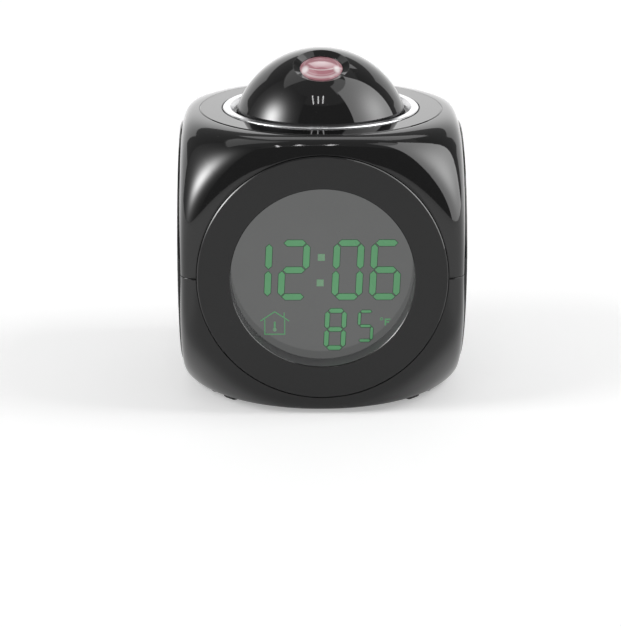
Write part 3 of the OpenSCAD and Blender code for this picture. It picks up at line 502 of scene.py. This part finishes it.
# %% Fine dust
def make_dust():
    """Mask = small round specks thinned out at random, plus a faint veil, both stronger where it faces up."""
    inputs = {"Place": None, "Speck Scale": 620.0, "Amount": 0.3, "Veil": 0.12}
    g, given, result = effect("fine_dust", inputs, ("Mask",))
    specks = g.add("ShaderNodeTexVoronoi", Vector=given["Place"], Scale=given["Speck Scale"])
    near = g.ramp(specks.outputs["Distance"], 0.05, 0.11, 1.0, 0.0)
    lot = g.add("ShaderNodeSeparateColor", Color=specks.outputs["Color"]).outputs[0]
    chosen = g.math("GREATER_THAN", lot, 0.9)
    normal = g.add("ShaderNodeNewGeometry").outputs["Normal"]
    up = g.ramp(g.add("ShaderNodeSeparateXYZ", Vector=normal).outputs[2], 0.1, 1.0, 0.2, 1.0)
    cloudy = g.add("ShaderNodeTexNoise", Vector=given["Place"], Scale=70.0, Detail=5.0).outputs[0]
    veil = g.math("MULTIPLY", g.ramp(cloudy, 0.45, 0.8), given["Veil"])
    both = g.math("MAXIMUM", g.math("MULTIPLY", near, chosen), veil)
    g.feed(result, "Mask", g.math("MULTIPLY", g.math("MULTIPLY", both, up), given["Amount"], clamp=True))
    return g.tree


fine_dust = make_dust()
print(fine_dust.name, "has", len(fine_dust.nodes), "nodes")


# %% Hairline scratches
def make_hairlines():
    """Mask = thin lines where noise, stretched along x, crosses its middle value."""
    g, given, result = effect("hairlines", {"Place": None, "Line Scale": 260.0, "Stretch": 0.08}, ("Mask",))
    split = g.add("ShaderNodeSeparateXYZ", Vector=given["Place"])
    long_way = g.math("MULTIPLY", split.outputs[0], given["Stretch"])
    place_in = g.add("ShaderNodeCombineXYZ", X=long_way, Y=split.outputs[1], Z=split.outputs[2]).outputs[0]
    noise = g.add("ShaderNodeTexNoise", Vector=place_in, Scale=given["Line Scale"], Detail=1.0)
    off = g.math("ABSOLUTE", g.math("SUBTRACT", noise.outputs[0], 0.5))
    g.feed(result, "Mask", g.ramp(off, 0.0, 0.012, 1.0, 0.0))
    return g.tree


hairlines = make_hairlines()
print("effects:", [t.name for t in bpy.data.node_groups])

# %% [markdown]
# ## One recipe for solid finishes
# Gloss plastic, rubber, sheet steel and circuit board differ in numbers more than in kind. The recipe places the
# shared effects, mixes rubbed edges (wear plus a painted edge highlight) and dust into the colour, lets the gloss
# drift, and sends the grain to a bump.


# %% The recipe
DUST_COLOUR = (0.55, 0.53, 0.5, 1)


def finish(name, colour, rough, metal=0.0, rub=0.3, rub_and_sheen_colour=None, dust=0.15, grain=4000.0, bump=0.02,
           drift=0.15, lines=0.0, glow=None, glow_strength=0.0, coat=0.0, ior=1.5, veil=0.12, inlay=None):
    """Principled material: colour * (1 - drift..1 + drift), rubbed toward rub_and_sheen_colour (wear and a painted
    edge highlight), dusted, with grain as bump.

    inlay is a function of the graph and the place that gives a share, its colour and its extra roughness.
    """
    made = bpy.data.materials.new(name)
    made.use_nodes = True
    g = Graph(made.node_tree)
    shader = made.node_tree.nodes["Principled BSDF"]
    spot = g.add("ShaderNodeTexCoord").outputs["Object"]
    grained = g.add("ShaderNodeGroup", {"node_tree": moulded_grain}, Place=spot, Grain_Scale=grain)
    rubbed_and_lit = g.add("ShaderNodeGroup", {"node_tree": edge_rub_and_sheen}, Place=spot, Amount=rub)
    dusted = g.add("ShaderNodeGroup", {"node_tree": fine_dust}, Place=spot, Amount=dust, Veil=veil)
    pale = tuple(c * (1 + drift) for c in colour) + (1,)
    deep = tuple(c * (1 - drift) for c in colour) + (1,)
    worn_and_lit = tuple(rub_and_sheen_colour or [min(1, c * 1.6 + 0.02) for c in colour]) + (1,)
    tone = g.mix(grained.outputs["Drift"], deep, pale)
    tone = g.mix(rubbed_and_lit.outputs["Mask"], tone, worn_and_lit)
    tone = g.mix(dusted.outputs["Mask"], tone, DUST_COLOUR)
    gloss = g.math("ADD", g.math("MULTIPLY", grained.outputs["Drift"], rough * 0.35), rough * 0.82)
    gloss = g.math("ADD", gloss, g.math("MULTIPLY", dusted.outputs["Mask"], 0.5))
    gloss = g.math("ADD", gloss, g.math("MULTIPLY", rubbed_and_lit.outputs["Mask"], 0.15))
    if lines:
        scratched = g.add("ShaderNodeGroup", {"node_tree": hairlines}, Place=spot)
        gloss = g.math("ADD", gloss, g.math("MULTIPLY", scratched.outputs["Mask"], lines))
    if inlay:
        share, other, other_gloss = inlay(g, spot)
        tone = g.mix(share, tone, other)
        if other_gloss is not None:
            gloss = g.math("ADD", gloss, g.math("MULTIPLY", share, other_gloss))
    g.feed(shader, "Base Color", tone)
    g.feed(shader, "Roughness", gloss)
    raised = g.add("ShaderNodeBump", Height=grained.outputs["Height"], Strength=1.0, Distance=bump * MM,
                   Normal=rubbed_and_lit.outputs["Normal"])
    g.feed(shader, "Normal", raised.outputs[0])
    shader.inputs["Metallic"].default_value = metal
    shader.inputs["IOR"].default_value = ior
    shader.inputs["Coat Weight"].default_value = coat
    if glow:
        lit = g.mix(grained.outputs["Drift"], tuple(c * 0.96 for c in glow) + (1,), glow + (1,))
        if inlay:
            lit = g.mix(share, lit, other)
        g.feed(shader, "Emission Color", lit)
        shader.inputs["Emission Strength"].default_value = glow_strength
    return made


def screen(shade):
    """Linear value of a shade written as on a screen, from 0 to 255."""
    share = shade / 255
    return share / 12.92 if share <= 0.04045 else ((share + 0.055) / 1.055) ** 2.4


def tint(*shades):
    """Linear colour of three such shades."""
    return tuple(screen(s) for s in shades)


print("screen 128 is linear", round(screen(128), 3))

# %% [markdown]
# ## The finishes
# The shells and the dome are gloss black, so nearly all that is seen of them is reflection: the base colour is
# close to nothing and the gloss is high. Parts that fingers or the table touch are duller.

# %% The window's wall, painted grey unlike the rest of its piece: a painted reflection of the lit display
bezel_low, _ = extent("front_bezel")
WALL_MARGIN, FACE_SKIN = 0.06, 0.3  # how far past the window's edge and behind the face it starts
# The tube's wall is the same dark moulding as the bezel; its grey is painted light, the display's glow reflected in
# it.
WALL_REFLECTED_GREY, WALL_ROUGH = tint(84, 84, 85) + (1,), 0.4


def painted_wall_reflection(g, spot):
    """Share 1 inside the window's tube, where the grey is a painted reflection of the display: nearer the front
    panel's axis than the window's edge, behind its face.
    """
    part = g.add("ShaderNodeSeparateXYZ", Vector=spot)
    across = g.math("POWER", part.outputs[0], 2.0)
    over = g.math("POWER", g.math("SUBTRACT", part.outputs[2], MID_Z * MM), 2.0)
    off_axis = g.math("SQRT", g.math("ADD", across, over))
    near = g.math("LESS_THAN", off_axis, (WINDOW_R + WALL_MARGIN) * MM)
    behind = g.math("GREATER_THAN", part.outputs[1], (bezel_low[1] + FACE_SKIN) * MM)
    return g.math("MULTIPLY", near, behind), WALL_REFLECTED_GREY, WALL_ROUGH


print("front panel's face lies at y", round(bezel_low[1], 2))

# %% Plastics
GLOSS_BLACK = (0.003, 0.003, 0.0032)
# rub_and_sheen_colour: ten times the black, for worn edges that also carry a painted highlight.
GLOSSY = {"bump": 0.0003, "grain": 900.0, "veil": 0.02, "drift": 0.1, "rub_and_sheen_colour": (0.03, 0.03, 0.031)}
finishes = {
    "black_shell": finish("black_shell", GLOSS_BLACK, 0.05, dust=0.10, rub=0.3, lines=0.05, **GLOSSY),
    "dome_black": finish("dome_black", GLOSS_BLACK, 0.04, dust=0.08, rub=0.4, lines=0.04, **GLOSSY),
    "dark_bezel": finish("dark_bezel", GLOSS_BLACK, 0.05, dust=0.12, rub=0.4, lines=0.04, inlay=painted_wall_reflection,
                         **GLOSSY),
    "control_grey": finish("control_grey", tint(84, 84, 86), 0.42, bump=0.012, dust=0.12),
    "button_grey": finish("button_grey", tint(100, 100, 102), 0.38, bump=0.01, dust=0.1, rub=0.5),
    "inner_black": finish("inner_black", tint(44, 44, 46), 0.34, bump=0.012, dust=0.15),
    "rubber_foot": finish("rubber_foot", tint(30, 30, 31), 0.75, bump=0.03, dust=0.35, rub=0.5),
    "white_plastic": finish("white_plastic", tint(222, 221, 216), 0.4, bump=0.008, dust=0.1),
    "light_guide": finish("light_guide", tint(225, 228, 226), 0.3, bump=0.004, dust=0.05, glow=(0.5, 0.52, 0.5),
                          glow_strength=0.4),
    "zebra_rubber": finish("zebra_rubber", tint(196, 180, 190), 0.6, bump=0.02),
    "chip_black": finish("chip_black", tint(34, 34, 36), 0.5, bump=0.02, dust=0.2),
    "speaker_grey": finish("speaker_grey", tint(58, 58, 60), 0.6, bump=0.03, dust=0.25),
    "slide_film": finish("slide_film", tint(60, 20, 22), 0.2, bump=0.001),
    "sensor_brown": finish("sensor_brown", tint(120, 70, 40), 0.35, bump=0.01),
    "ribbon_grey": finish("ribbon_grey", tint(165, 165, 168), 0.45, bump=0.01),
    "wire_red": finish("wire_red", tint(150, 32, 28), 0.42, bump=0.01),
    "lamp_red": finish("lamp_red", tint(190, 40, 40), 0.12, bump=0.001, glow=(1.0, 0.12, 0.08),
                       glow_strength=0.5),
    "board_green": finish("board_green", tint(38, 92, 60), 0.35, bump=0.01, drift=0.25, coat=0.3),
}
print(len(finishes), "plastics")

# %% Metals
finishes |= {
    "silver_trim": finish("silver_trim", (0.68, 0.68, 0.69), 0.24, metal=1.0, bump=0.0015, rub=0.2, drift=0.03,
                          dust=0.06, lines=0.06, rub_and_sheen_colour=(0.62, 0.62, 0.62)),
    "spring_steel": finish("spring_steel", (0.75, 0.75, 0.76), 0.22, metal=1.0, bump=0.004, lines=0.1),
    "contact_nickel": finish("contact_nickel", (0.72, 0.70, 0.66), 0.28, metal=1.0, bump=0.006, lines=0.12),
    "clamp_steel": finish("clamp_steel", (0.6, 0.6, 0.61), 0.3, metal=1.0, bump=0.006, lines=0.12),
    "screw_steel": finish("screw_steel", (0.28, 0.28, 0.29), 0.25, metal=1.0, bump=0.004, lines=0.1, rub=0.7),
}
print(len(finishes), "finishes with the metals")

# %% [markdown]
# ## Display and lens
# The display is a grey glass with green bars, lit evenly from behind, so both glow; the glow is set to their whole
# brightness, so it is also painted light that stands in for the lamplight the deep window keeps from them. Each bar
# has a fine dark rim, a painted shadow of the bar, which is marked on the piece in an attribute called rim. The lens
# is a clear rose bead whose colour holds painted highlights and a painted reflection: a pale middle, thin pale arcs
# round it, a light spot low on either side and a darker streak above the middle.

# %% Finishes of the display and the lens
# The rims of the bars are a painted shadow round each bar.
PAINTED_RIM_SHADOW = (0.010, 0.024, 0.014, 1)
PRINT_FAINT = (0.098, 0.185, 0.112, 1)
# Colour of the painted highlights on the lens.
LENS_HIGHLIGHT_PAINT = (0.95, 0.85, 0.86, 1)


def shadow_rims_of_bars(g, spot):
    """Share from the piece's own attributes: rim is 1 on the dark rims of the bars, which are a painted shadow,
    faint on the paler dots.
    """
    rim, faint = [g.add("ShaderNodeAttribute", {"attribute_name": name}).outputs["Fac"] for name in ("rim", "faint")]
    return g.math("MAXIMUM", rim, faint), g.mix(faint, PAINTED_RIM_SHADOW, PRINT_FAINT), None


# Both glow at the strength that gives their whole look: their backlight, and painted light standing in for the
# lamplight that the deep window keeps from them.
finishes["display_glass"] = finish("display_glass", (0.012, 0.012, 0.012), 0.09, bump=0.0003, grain=900.0, dust=0.05,
                                   rub=0.0, veil=0.02, drift=0.05, glow=(0.101, 0.103, 0.102), glow_strength=1.0)
finishes["display_print"] = finish("display_print", (0.03, 0.08, 0.045), 0.3, bump=0.001, dust=0.0, rub=0.0,
                                   inlay=shadow_rims_of_bars, glow=(0.076, 0.238, 0.104), glow_strength=1.0)
lens_low, lens_high = extent("projector_lens")
LENS_FLANGE = 1.0
LENS_TILT = 0.93  # cosine of the lens's tilt toward the front
LENS_R = (lens_high[0] - lens_low[0]) / 2 - LENS_FLANGE
LENS_MIDDLE = (lens_low + lens_high) / 2
print("lens radius", round(LENS_R, 2), "middle", LENS_MIDDLE.round(2))


def painted_lens_highlights(g, spot):
    """Share of painted highlight over rose, from u = x / R and v = y / (R cos tilt): bands in sqrt(u^2 + v^2) and in
    v.
    """
    part = g.add("ShaderNodeSeparateXYZ", Vector=spot)
    u = g.math("DIVIDE", part.outputs[0], LENS_R * MM)
    v = g.math("DIVIDE", g.math("SUBTRACT", part.outputs[1], LENS_MIDDLE[1] * MM), LENS_R * MM * LENS_TILT)

    def from_point(u0, v0, squeeze=1.0):
        """Distance from a point, counted squeeze times across v."""
        du = g.math("POWER", g.math("SUBTRACT", u, u0), 2.0)
        dv = g.math("POWER", g.math("MULTIPLY", g.math("SUBTRACT", v, v0), squeeze), 2.0)
        return g.math("SQRT", g.math("ADD", du, dv))

    def band(value, middle, width, level):
        """A soft stripe: level at the middle value, nothing past the width."""
        off = g.math("ABSOLUTE", g.math("SUBTRACT", value, middle))
        return g.ramp(off, width * 0.3, width, level, 0.0)

    out = from_point(0, 0)
    low_side = g.ramp(v, -0.45, 0.05, 1.0, 0.0)
    # Each share below is a painted highlight, standing in for light that the bead reflects and bends.
    parts = [
        g.ramp(from_point(0.0, 0.02, 1.9), 0.1, 0.75, 0.45, 0.0),  # pale middle
        band(out, 0.78, 0.05, 0.2),  # thin arc inside the rim
        g.math("MULTIPLY", band(from_point(0.0, 0.32), 0.82, 0.05, 0.6), low_side),  # flatter arc below the middle
        g.math("MULTIPLY", band(out, 0.9, 0.08, 0.5), low_side),  # light along the lower rim
        g.ramp(from_point(-0.74, -0.28, 0.6), 0.06, 0.24, 1.0, 0.0),  # left spot
        g.ramp(from_point(0.72, -0.3, 0.6), 0.06, 0.22, 1.0, 0.0),  # right spot
        band(v, 0.62, 0.05, 0.12),  # faint streak above the middle
    ]
    share = parts[0]
    for more in parts[1:]:
        share = g.math("MAXIMUM", share, more)
    # A darker streak is a painted reflection, taken out of the highlights.
    painted_dark_streak = g.math("MULTIPLY", band(v, 0.33, 0.09, 0.5), g.ramp(out, 0.55, 0.8, 1.0, 0.0))
    return g.math("SUBTRACT", share, painted_dark_streak, clamp=True), LENS_HIGHLIGHT_PAINT, None


finishes["lens_glass"] = finish("lens_glass", (0.50, 0.20, 0.24), 0.05, bump=0.0003, grain=900.0, dust=0.02, rub=0.0,
                                inlay=painted_lens_highlights, coat=1.0)
print(len(finishes), "finishes in all")

# %% Bars with rims
BAR_RIM = 0.16
SQUARENESS = 0.9  # area over (perimeter / 4)^2, which is 1 for a square


def bars_with_rims(node):
    """Copy of the printed figures: broad front faces are inset by BAR_RIM.

    The strip left round each is marked rim, for a painted shadow, and squares are marked faint.
    """
    work = bmesh.new()
    work.from_mesh(copy_of_node(node))
    mark = work.faces.layers.float.new("rim")
    dim = work.faces.layers.float.new("faint")
    bmesh.ops.dissolve_limit(work, angle_limit=0.02, verts=work.verts, edges=work.edges)
    fronts = [f for f in work.faces if f.normal.y < -0.9]
    broad = [f for f in fronts if f.calc_area() / f.calc_perimeter() > 1.6 * BAR_RIM * MM]
    dots = [f for f in broad if f.calc_area() > SQUARENESS * (f.calc_perimeter() / 4) ** 2]
    for face in dots:
        face[dim] = 1.0
    broad = [f for f in broad if f not in dots]
    strips = bmesh.ops.inset_individual(work, faces=broad, thickness=BAR_RIM * MM, use_even_offset=True)["faces"]
    for face in strips:
        face[mark] = 1.0
    print(len(broad), "broad faces,", len(strips), "rim faces")
    mesh = bpy.data.meshes.new("figures")
    bmesh.ops.triangulate(work, faces=[f for f in work.faces if len(f.verts) > 4])
    work.to_mesh(mesh)
    work.free()
    return mesh


figures = place("figures", bars_with_rims("lcd_segments"), "case", "display_print", "lcd_segments")
figures.data.materials.append(finishes["display_print"])

# %% Give every node its finish
slot_of = {part["node"]: part["material_slot"] for part in frame["record"]["subparts"]}
for name, obj in nodes.items():
    chosen = finishes[slot_of[name]]
    if not obj.material_slots:
        obj.data.materials.append(chosen)
    for holder in obj.material_slots:
        holder.material = chosen
for piece, look in ((upper_skin, "black_shell"), (lower_skin, "black_shell"), (foot_pads, "rubber_foot")):
    piece.data.materials.clear()
    piece.data.materials.append(finishes[look])
print("finished", len(nodes), "nodes")

# %% [markdown]
# ## The studio
# Gloss black shows the room, so the room is the picture. A round wall of dim cloth stands about the clock, open
# at the back toward a white card. A tall window of light is let into it on the right, a round soft lamp shines
# from the left, and three thin tubes hang above the front. None of them is seen by the camera directly. The cards
# are pieces of a ball round the clock, given by azimuth and elevation, so each reflection lands where it is
# meant. Where two overlap, the one with the larger nearer value hides the other.


# %% Directions round the clock
AIM = Vector((0, 0, 0.06))
TENT_R = 1.3


def heading(az_deg, el_deg):
    """Direction from the clock: azimuth 0 is toward the front and 90 to the right, elevation is above the table."""
    az, el = math.radians(az_deg), math.radians(el_deg)
    return Vector((math.sin(az) * math.cos(el), -math.cos(az) * math.cos(el), math.sin(el)))


def stage_mesh(name, grids, material):
    """A card or table made of point grids, which is part of the studio and not of the clock."""
    mesh = mesh_from_grids(name, grids)
    mesh.materials.append(material)
    card = bpy.data.objects.new(name, mesh)
    bpy.context.scene.collection.objects.link(card)
    return card


def shining(name, level, *lobes):
    """Card material of strength level + the sum of peak * exp(-(angle / width)^2) over the lobes."""
    made = bpy.data.materials.new(name)
    made.use_nodes = True
    g = Graph(made.node_tree)
    g.tree.nodes.clear()
    strength = level
    for az, el, peak, width in lobes:
        spot = g.add("ShaderNodeTexCoord").outputs["Object"]
        from_clock = g.add("ShaderNodeVectorMath", {"operation": "SUBTRACT"}, _0=spot, _1=AIM[:]).outputs[0]
        unit = g.add("ShaderNodeVectorMath", {"operation": "NORMALIZE"}, _0=from_clock).outputs[0]
        toward = heading(az, el)[:]
        along = g.add("ShaderNodeVectorMath", {"operation": "DOT_PRODUCT"}, _0=unit, _1=toward).outputs["Value"]
        fall = g.math("MULTIPLY", g.math("SUBTRACT", along, 1.0), 2 / math.radians(width) ** 2)
        strength = g.math("ADD", g.math("MULTIPLY", g.math("EXPONENT", fall), peak), strength)
    shine = g.add("ShaderNodeEmission", Color=(1, 1, 1, 1), Strength=strength)
    g.tree.links.new(shine.outputs[0], g.add("ShaderNodeOutputMaterial").inputs[0])
    return made


def sky_patch(name, az_range, el_range, material, nearer=0.0, steps=(40, 16), lights=True):
    """Part of a ball round the clock: azimuth and elevation are the two parameters; lights=False only reflects."""
    az = np.radians(np.linspace(*az_range, steps[0]))[None, :]
    el = np.radians(np.linspace(*el_range, steps[1]))[:, None]
    spot = np.stack([np.sin(az) * np.cos(el), -np.cos(az) * np.cos(el), np.sin(el) + 0 * az], axis=-1)
    card = stage_mesh(name, [(spot * (TENT_R - nearer) + np.array(AIM)) / MM], material)
    card.visible_camera = False
    card.visible_diffuse = lights
    return card


# %% The tent and its lights
dim, pale = shining("tent_dim", 0.27), shining("tent_pale", 0.43)
sky_patch("tent_front", (-136, 133), (-3, 52), dim)
sky_patch("tent_back_low", (133, 224), (30, 52), dim)
sky_patch("tent_roof", (-180, 180), (52, 90), pale)
back_white = shining("back_white", 1.15, (180, 12, 0.45, 22))
sky_patch("back_card", (133, 224), (-3, 38), back_white, nearer=-0.02)
sky_patch("back_low", (127, 238), (-3, 11), back_white, nearer=0.02)
sky_patch("back_top", (143, 197), (43, 65), shining("back_haze", 1.6), nearer=0.03, lights=False)
sky_patch("roof_card", (-150, -96), (53, 82), shining("roof_white", 1.2), nearer=0.05, lights=False)
window_white = shining("window_white", 3.1, (86, 27, 4.6, 18))
sky_patch("window_light", (48, 116), (-3, 65.5), window_white, nearer=0.06, lights=False)
sky_patch("window_top", (44, 104), (63, 76), shining("window_haze", 1.6), nearer=0.04, lights=False)
lamp_white = shining("lamp_white", 0.3, (-75, 24.5, 17.0, 12), (-74, 22, 3.2, 21))
sky_patch("round_lamp", (-118, -34), (-3, 62), lamp_white, nearer=0.04, steps=(60, 50), lights=False)


# %% Tubes
TUBE_R, TUBE_RADIANCE = 1.1, 16.0
TUBES = (((-0.165, -0.39, 0.91), (-0.157, -0.58, 0.81)),
         ((-0.055, -0.42, 0.91), (-0.058, -0.57, 0.82)),
         ((0.045, -0.41, 0.91), (0.032, -0.57, 0.82)))


def tube(name, start, end, radiance, width=0.02):
    """Thin area lamp between two directions at TUBE_R; its power is radiance times pi times its area."""
    start, end = Vector(start).normalized(), Vector(end).normalized()
    toward = (start + end).normalized()
    side = (end - start - (end - start).dot(toward) * toward).normalized()
    data = bpy.data.lights.new(name, "AREA")
    data.shape, data.size, data.size_y = "RECTANGLE", (end - start).length * TUBE_R, width
    data.energy = radiance * math.pi * data.size * data.size_y
    obj = bpy.data.objects.new(name, data)
    bpy.context.scene.collection.objects.link(obj)
    turn = Matrix((side, toward.cross(side), toward)).transposed()
    obj.matrix_world = Matrix.Translation(AIM + toward * TUBE_R) @ turn.to_4x4()
    obj.visible_camera = False
    return obj


for number, (start, end) in enumerate(TUBES):
    tube(f"tube_{number}", start, end, TUBE_RADIANCE)

# %% [markdown]
# ## Two soft lamps
# The bright cards would also flood every matt surface, far past the level at which a colour looks as it is
# written. So they only show in the gloss, and two soft lamps from the same two sides light the matt parts. A
# level of one lights a white card that faces the lamp to full white.


# %% Soft lamps
def soft_lamp(name, az_deg, el_deg, level, size=0.5, distance=1.2):
    """Square area lamp of power level * (pi * distance)^2, which a card at that distance sees as its level."""
    data = bpy.data.lights.new(name, "AREA")
    data.shape, data.size = "SQUARE", size
    data.energy = level * (math.pi * distance) ** 2
    obj = bpy.data.objects.new(name, data)
    bpy.context.scene.collection.objects.link(obj)
    toward = heading(az_deg, el_deg)
    turn = toward.to_track_quat("Z", "Y").to_matrix().to_4x4()
    obj.matrix_world = Matrix.Translation(AIM + toward * distance) @ turn
    obj.visible_camera = obj.visible_glossy = False
    return obj


lamps = [soft_lamp("soft_right", 84, 45, 0.36), soft_lamp("soft_left", -70, 40, 0.32)]
print([lamp.name for lamp in lamps], "shine", [round(lamp.data.energy, 2) for lamp in lamps], "watts")

# %% [markdown]
# ## The table
# The table is white and keeps the clock's shadow. Seen from below it is clear, so that the underside can be looked
# at. It is also clear in a small round right under the clock, where a card below shines up through it on to the
# underside, which would otherwise be black from below.


# %% Table and background
CLEAR_R = 0.033  # metres, as are the next two
SIDE_START, SIDE_FULL = 0.05, 0.1
CAMERA_GLOW = 0.37
MIRROR_GLOW = 0.2
SIDE_GLOW = 0.35


def make_table_finish():
    """Matt white plus a little glow, more to the sides; clear from below and right under the clock."""
    made = bpy.data.materials.new("white_table")
    made.use_nodes = True
    g = Graph(made.node_tree)
    g.tree.nodes.clear()
    matt = g.add("ShaderNodeBsdfDiffuse", Color=(0.8, 0.8, 0.8, 1))
    way = g.add("ShaderNodeLightPath")
    spot = g.add("ShaderNodeTexCoord").outputs["Object"]
    aside = g.math("ABSOLUTE", g.add("ShaderNodeSeparateXYZ", Vector=spot).outputs[0])
    mirrored = g.math("MAXIMUM", way.outputs["Is Glossy Ray"], way.outputs["Is Transmission Ray"])
    in_mirrors = g.math("ADD", g.ramp(aside, SIDE_START, SIDE_FULL, 0.0, SIDE_GLOW), MIRROR_GLOW)
    glow = g.math("ADD", g.math("MULTIPLY", way.outputs["Is Camera Ray"], CAMERA_GLOW),
                  g.math("MULTIPLY", mirrored, in_mirrors))
    shine = g.add("ShaderNodeEmission", Color=(1, 1, 1, 1), Strength=glow)
    table = g.add("ShaderNodeAddShader", _0=matt.outputs[0], _1=shine.outputs[0])
    below = g.math("MULTIPLY", g.add("ShaderNodeNewGeometry").outputs["Backfacing"], way.outputs["Is Camera Ray"])
    off_axis = g.add("ShaderNodeVectorMath", {"operation": "LENGTH"}, _0=spot).outputs["Value"]
    under = g.math("LESS_THAN", off_axis, CLEAR_R)
    clear = g.add("ShaderNodeBsdfTransparent")
    both = g.add("ShaderNodeMixShader", _0=g.math("MAXIMUM", below, under), _1=table.outputs[0], _2=clear.outputs[0])
    g.tree.links.new(both.outputs[0], g.add("ShaderNodeOutputMaterial").inputs[0])
    return made


def disc_grid(radius, z):
    """Flat disc that looks up: radius and angle, which runs clockwise, are the two parameters."""
    reach = np.linspace(0, radius, 12)[:, None]
    turn = -np.linspace(0, math.tau, 73)[None, :]
    return np.stack([reach * np.cos(turn), reach * np.sin(turn), z + 0 * reach * turn], axis=-1)


TABLE_R, TABLE_Z, UNDER_Z = 1600, -0.02, -350  # millimetres
table = stage_mesh("table", [disc_grid(TABLE_R, TABLE_Z)], make_table_finish())
under = stage_mesh("under_card", [disc_grid(TABLE_R, UNDER_Z)], shining("under_white", 0.9))
under.visible_camera = False
world = bpy.data.worlds.new("studio")
bpy.context.scene.world = world
world.use_nodes = True
background = world.node_tree.nodes["Background"]
background.inputs["Color"].default_value = (1, 1, 1, 1)
background.inputs["Strength"].default_value = 1.0
print("table looks up:", round(table.data.polygons[200].normal.z, 2))

# %% [markdown]
# ## The camera
# The camera looks down a little from well in front, with a long lens, so that near and far edges come out nearly
# the same size.

# %% Camera
FOCAL_LENGTH = 131.785
CAMERA_PLACE = (-10.016, -656.747, 229.946)
PITCH, YAW = 0.31304, 0.01071
lens_data = bpy.data.cameras.new("view")
lens_data.sensor_width = 36
lens_data.sensor_fit = "AUTO"
lens_data.lens = FOCAL_LENGTH
lens_data.clip_start = 0.01
camera = bpy.data.objects.new("view", lens_data)
bpy.context.scene.collection.objects.link(camera)
forward = Vector((math.sin(YAW) * math.cos(PITCH), math.cos(YAW) * math.cos(PITCH), -math.sin(PITCH)))
camera.location = Vector(CAMERA_PLACE) * MM
camera.rotation_euler = forward.to_track_quat("-Z", "Y").to_euler()
bpy.context.scene.camera = camera
bpy.context.scene.view_settings.view_transform = "Standard"
print("camera", [round(v, 3) for v in camera.location])
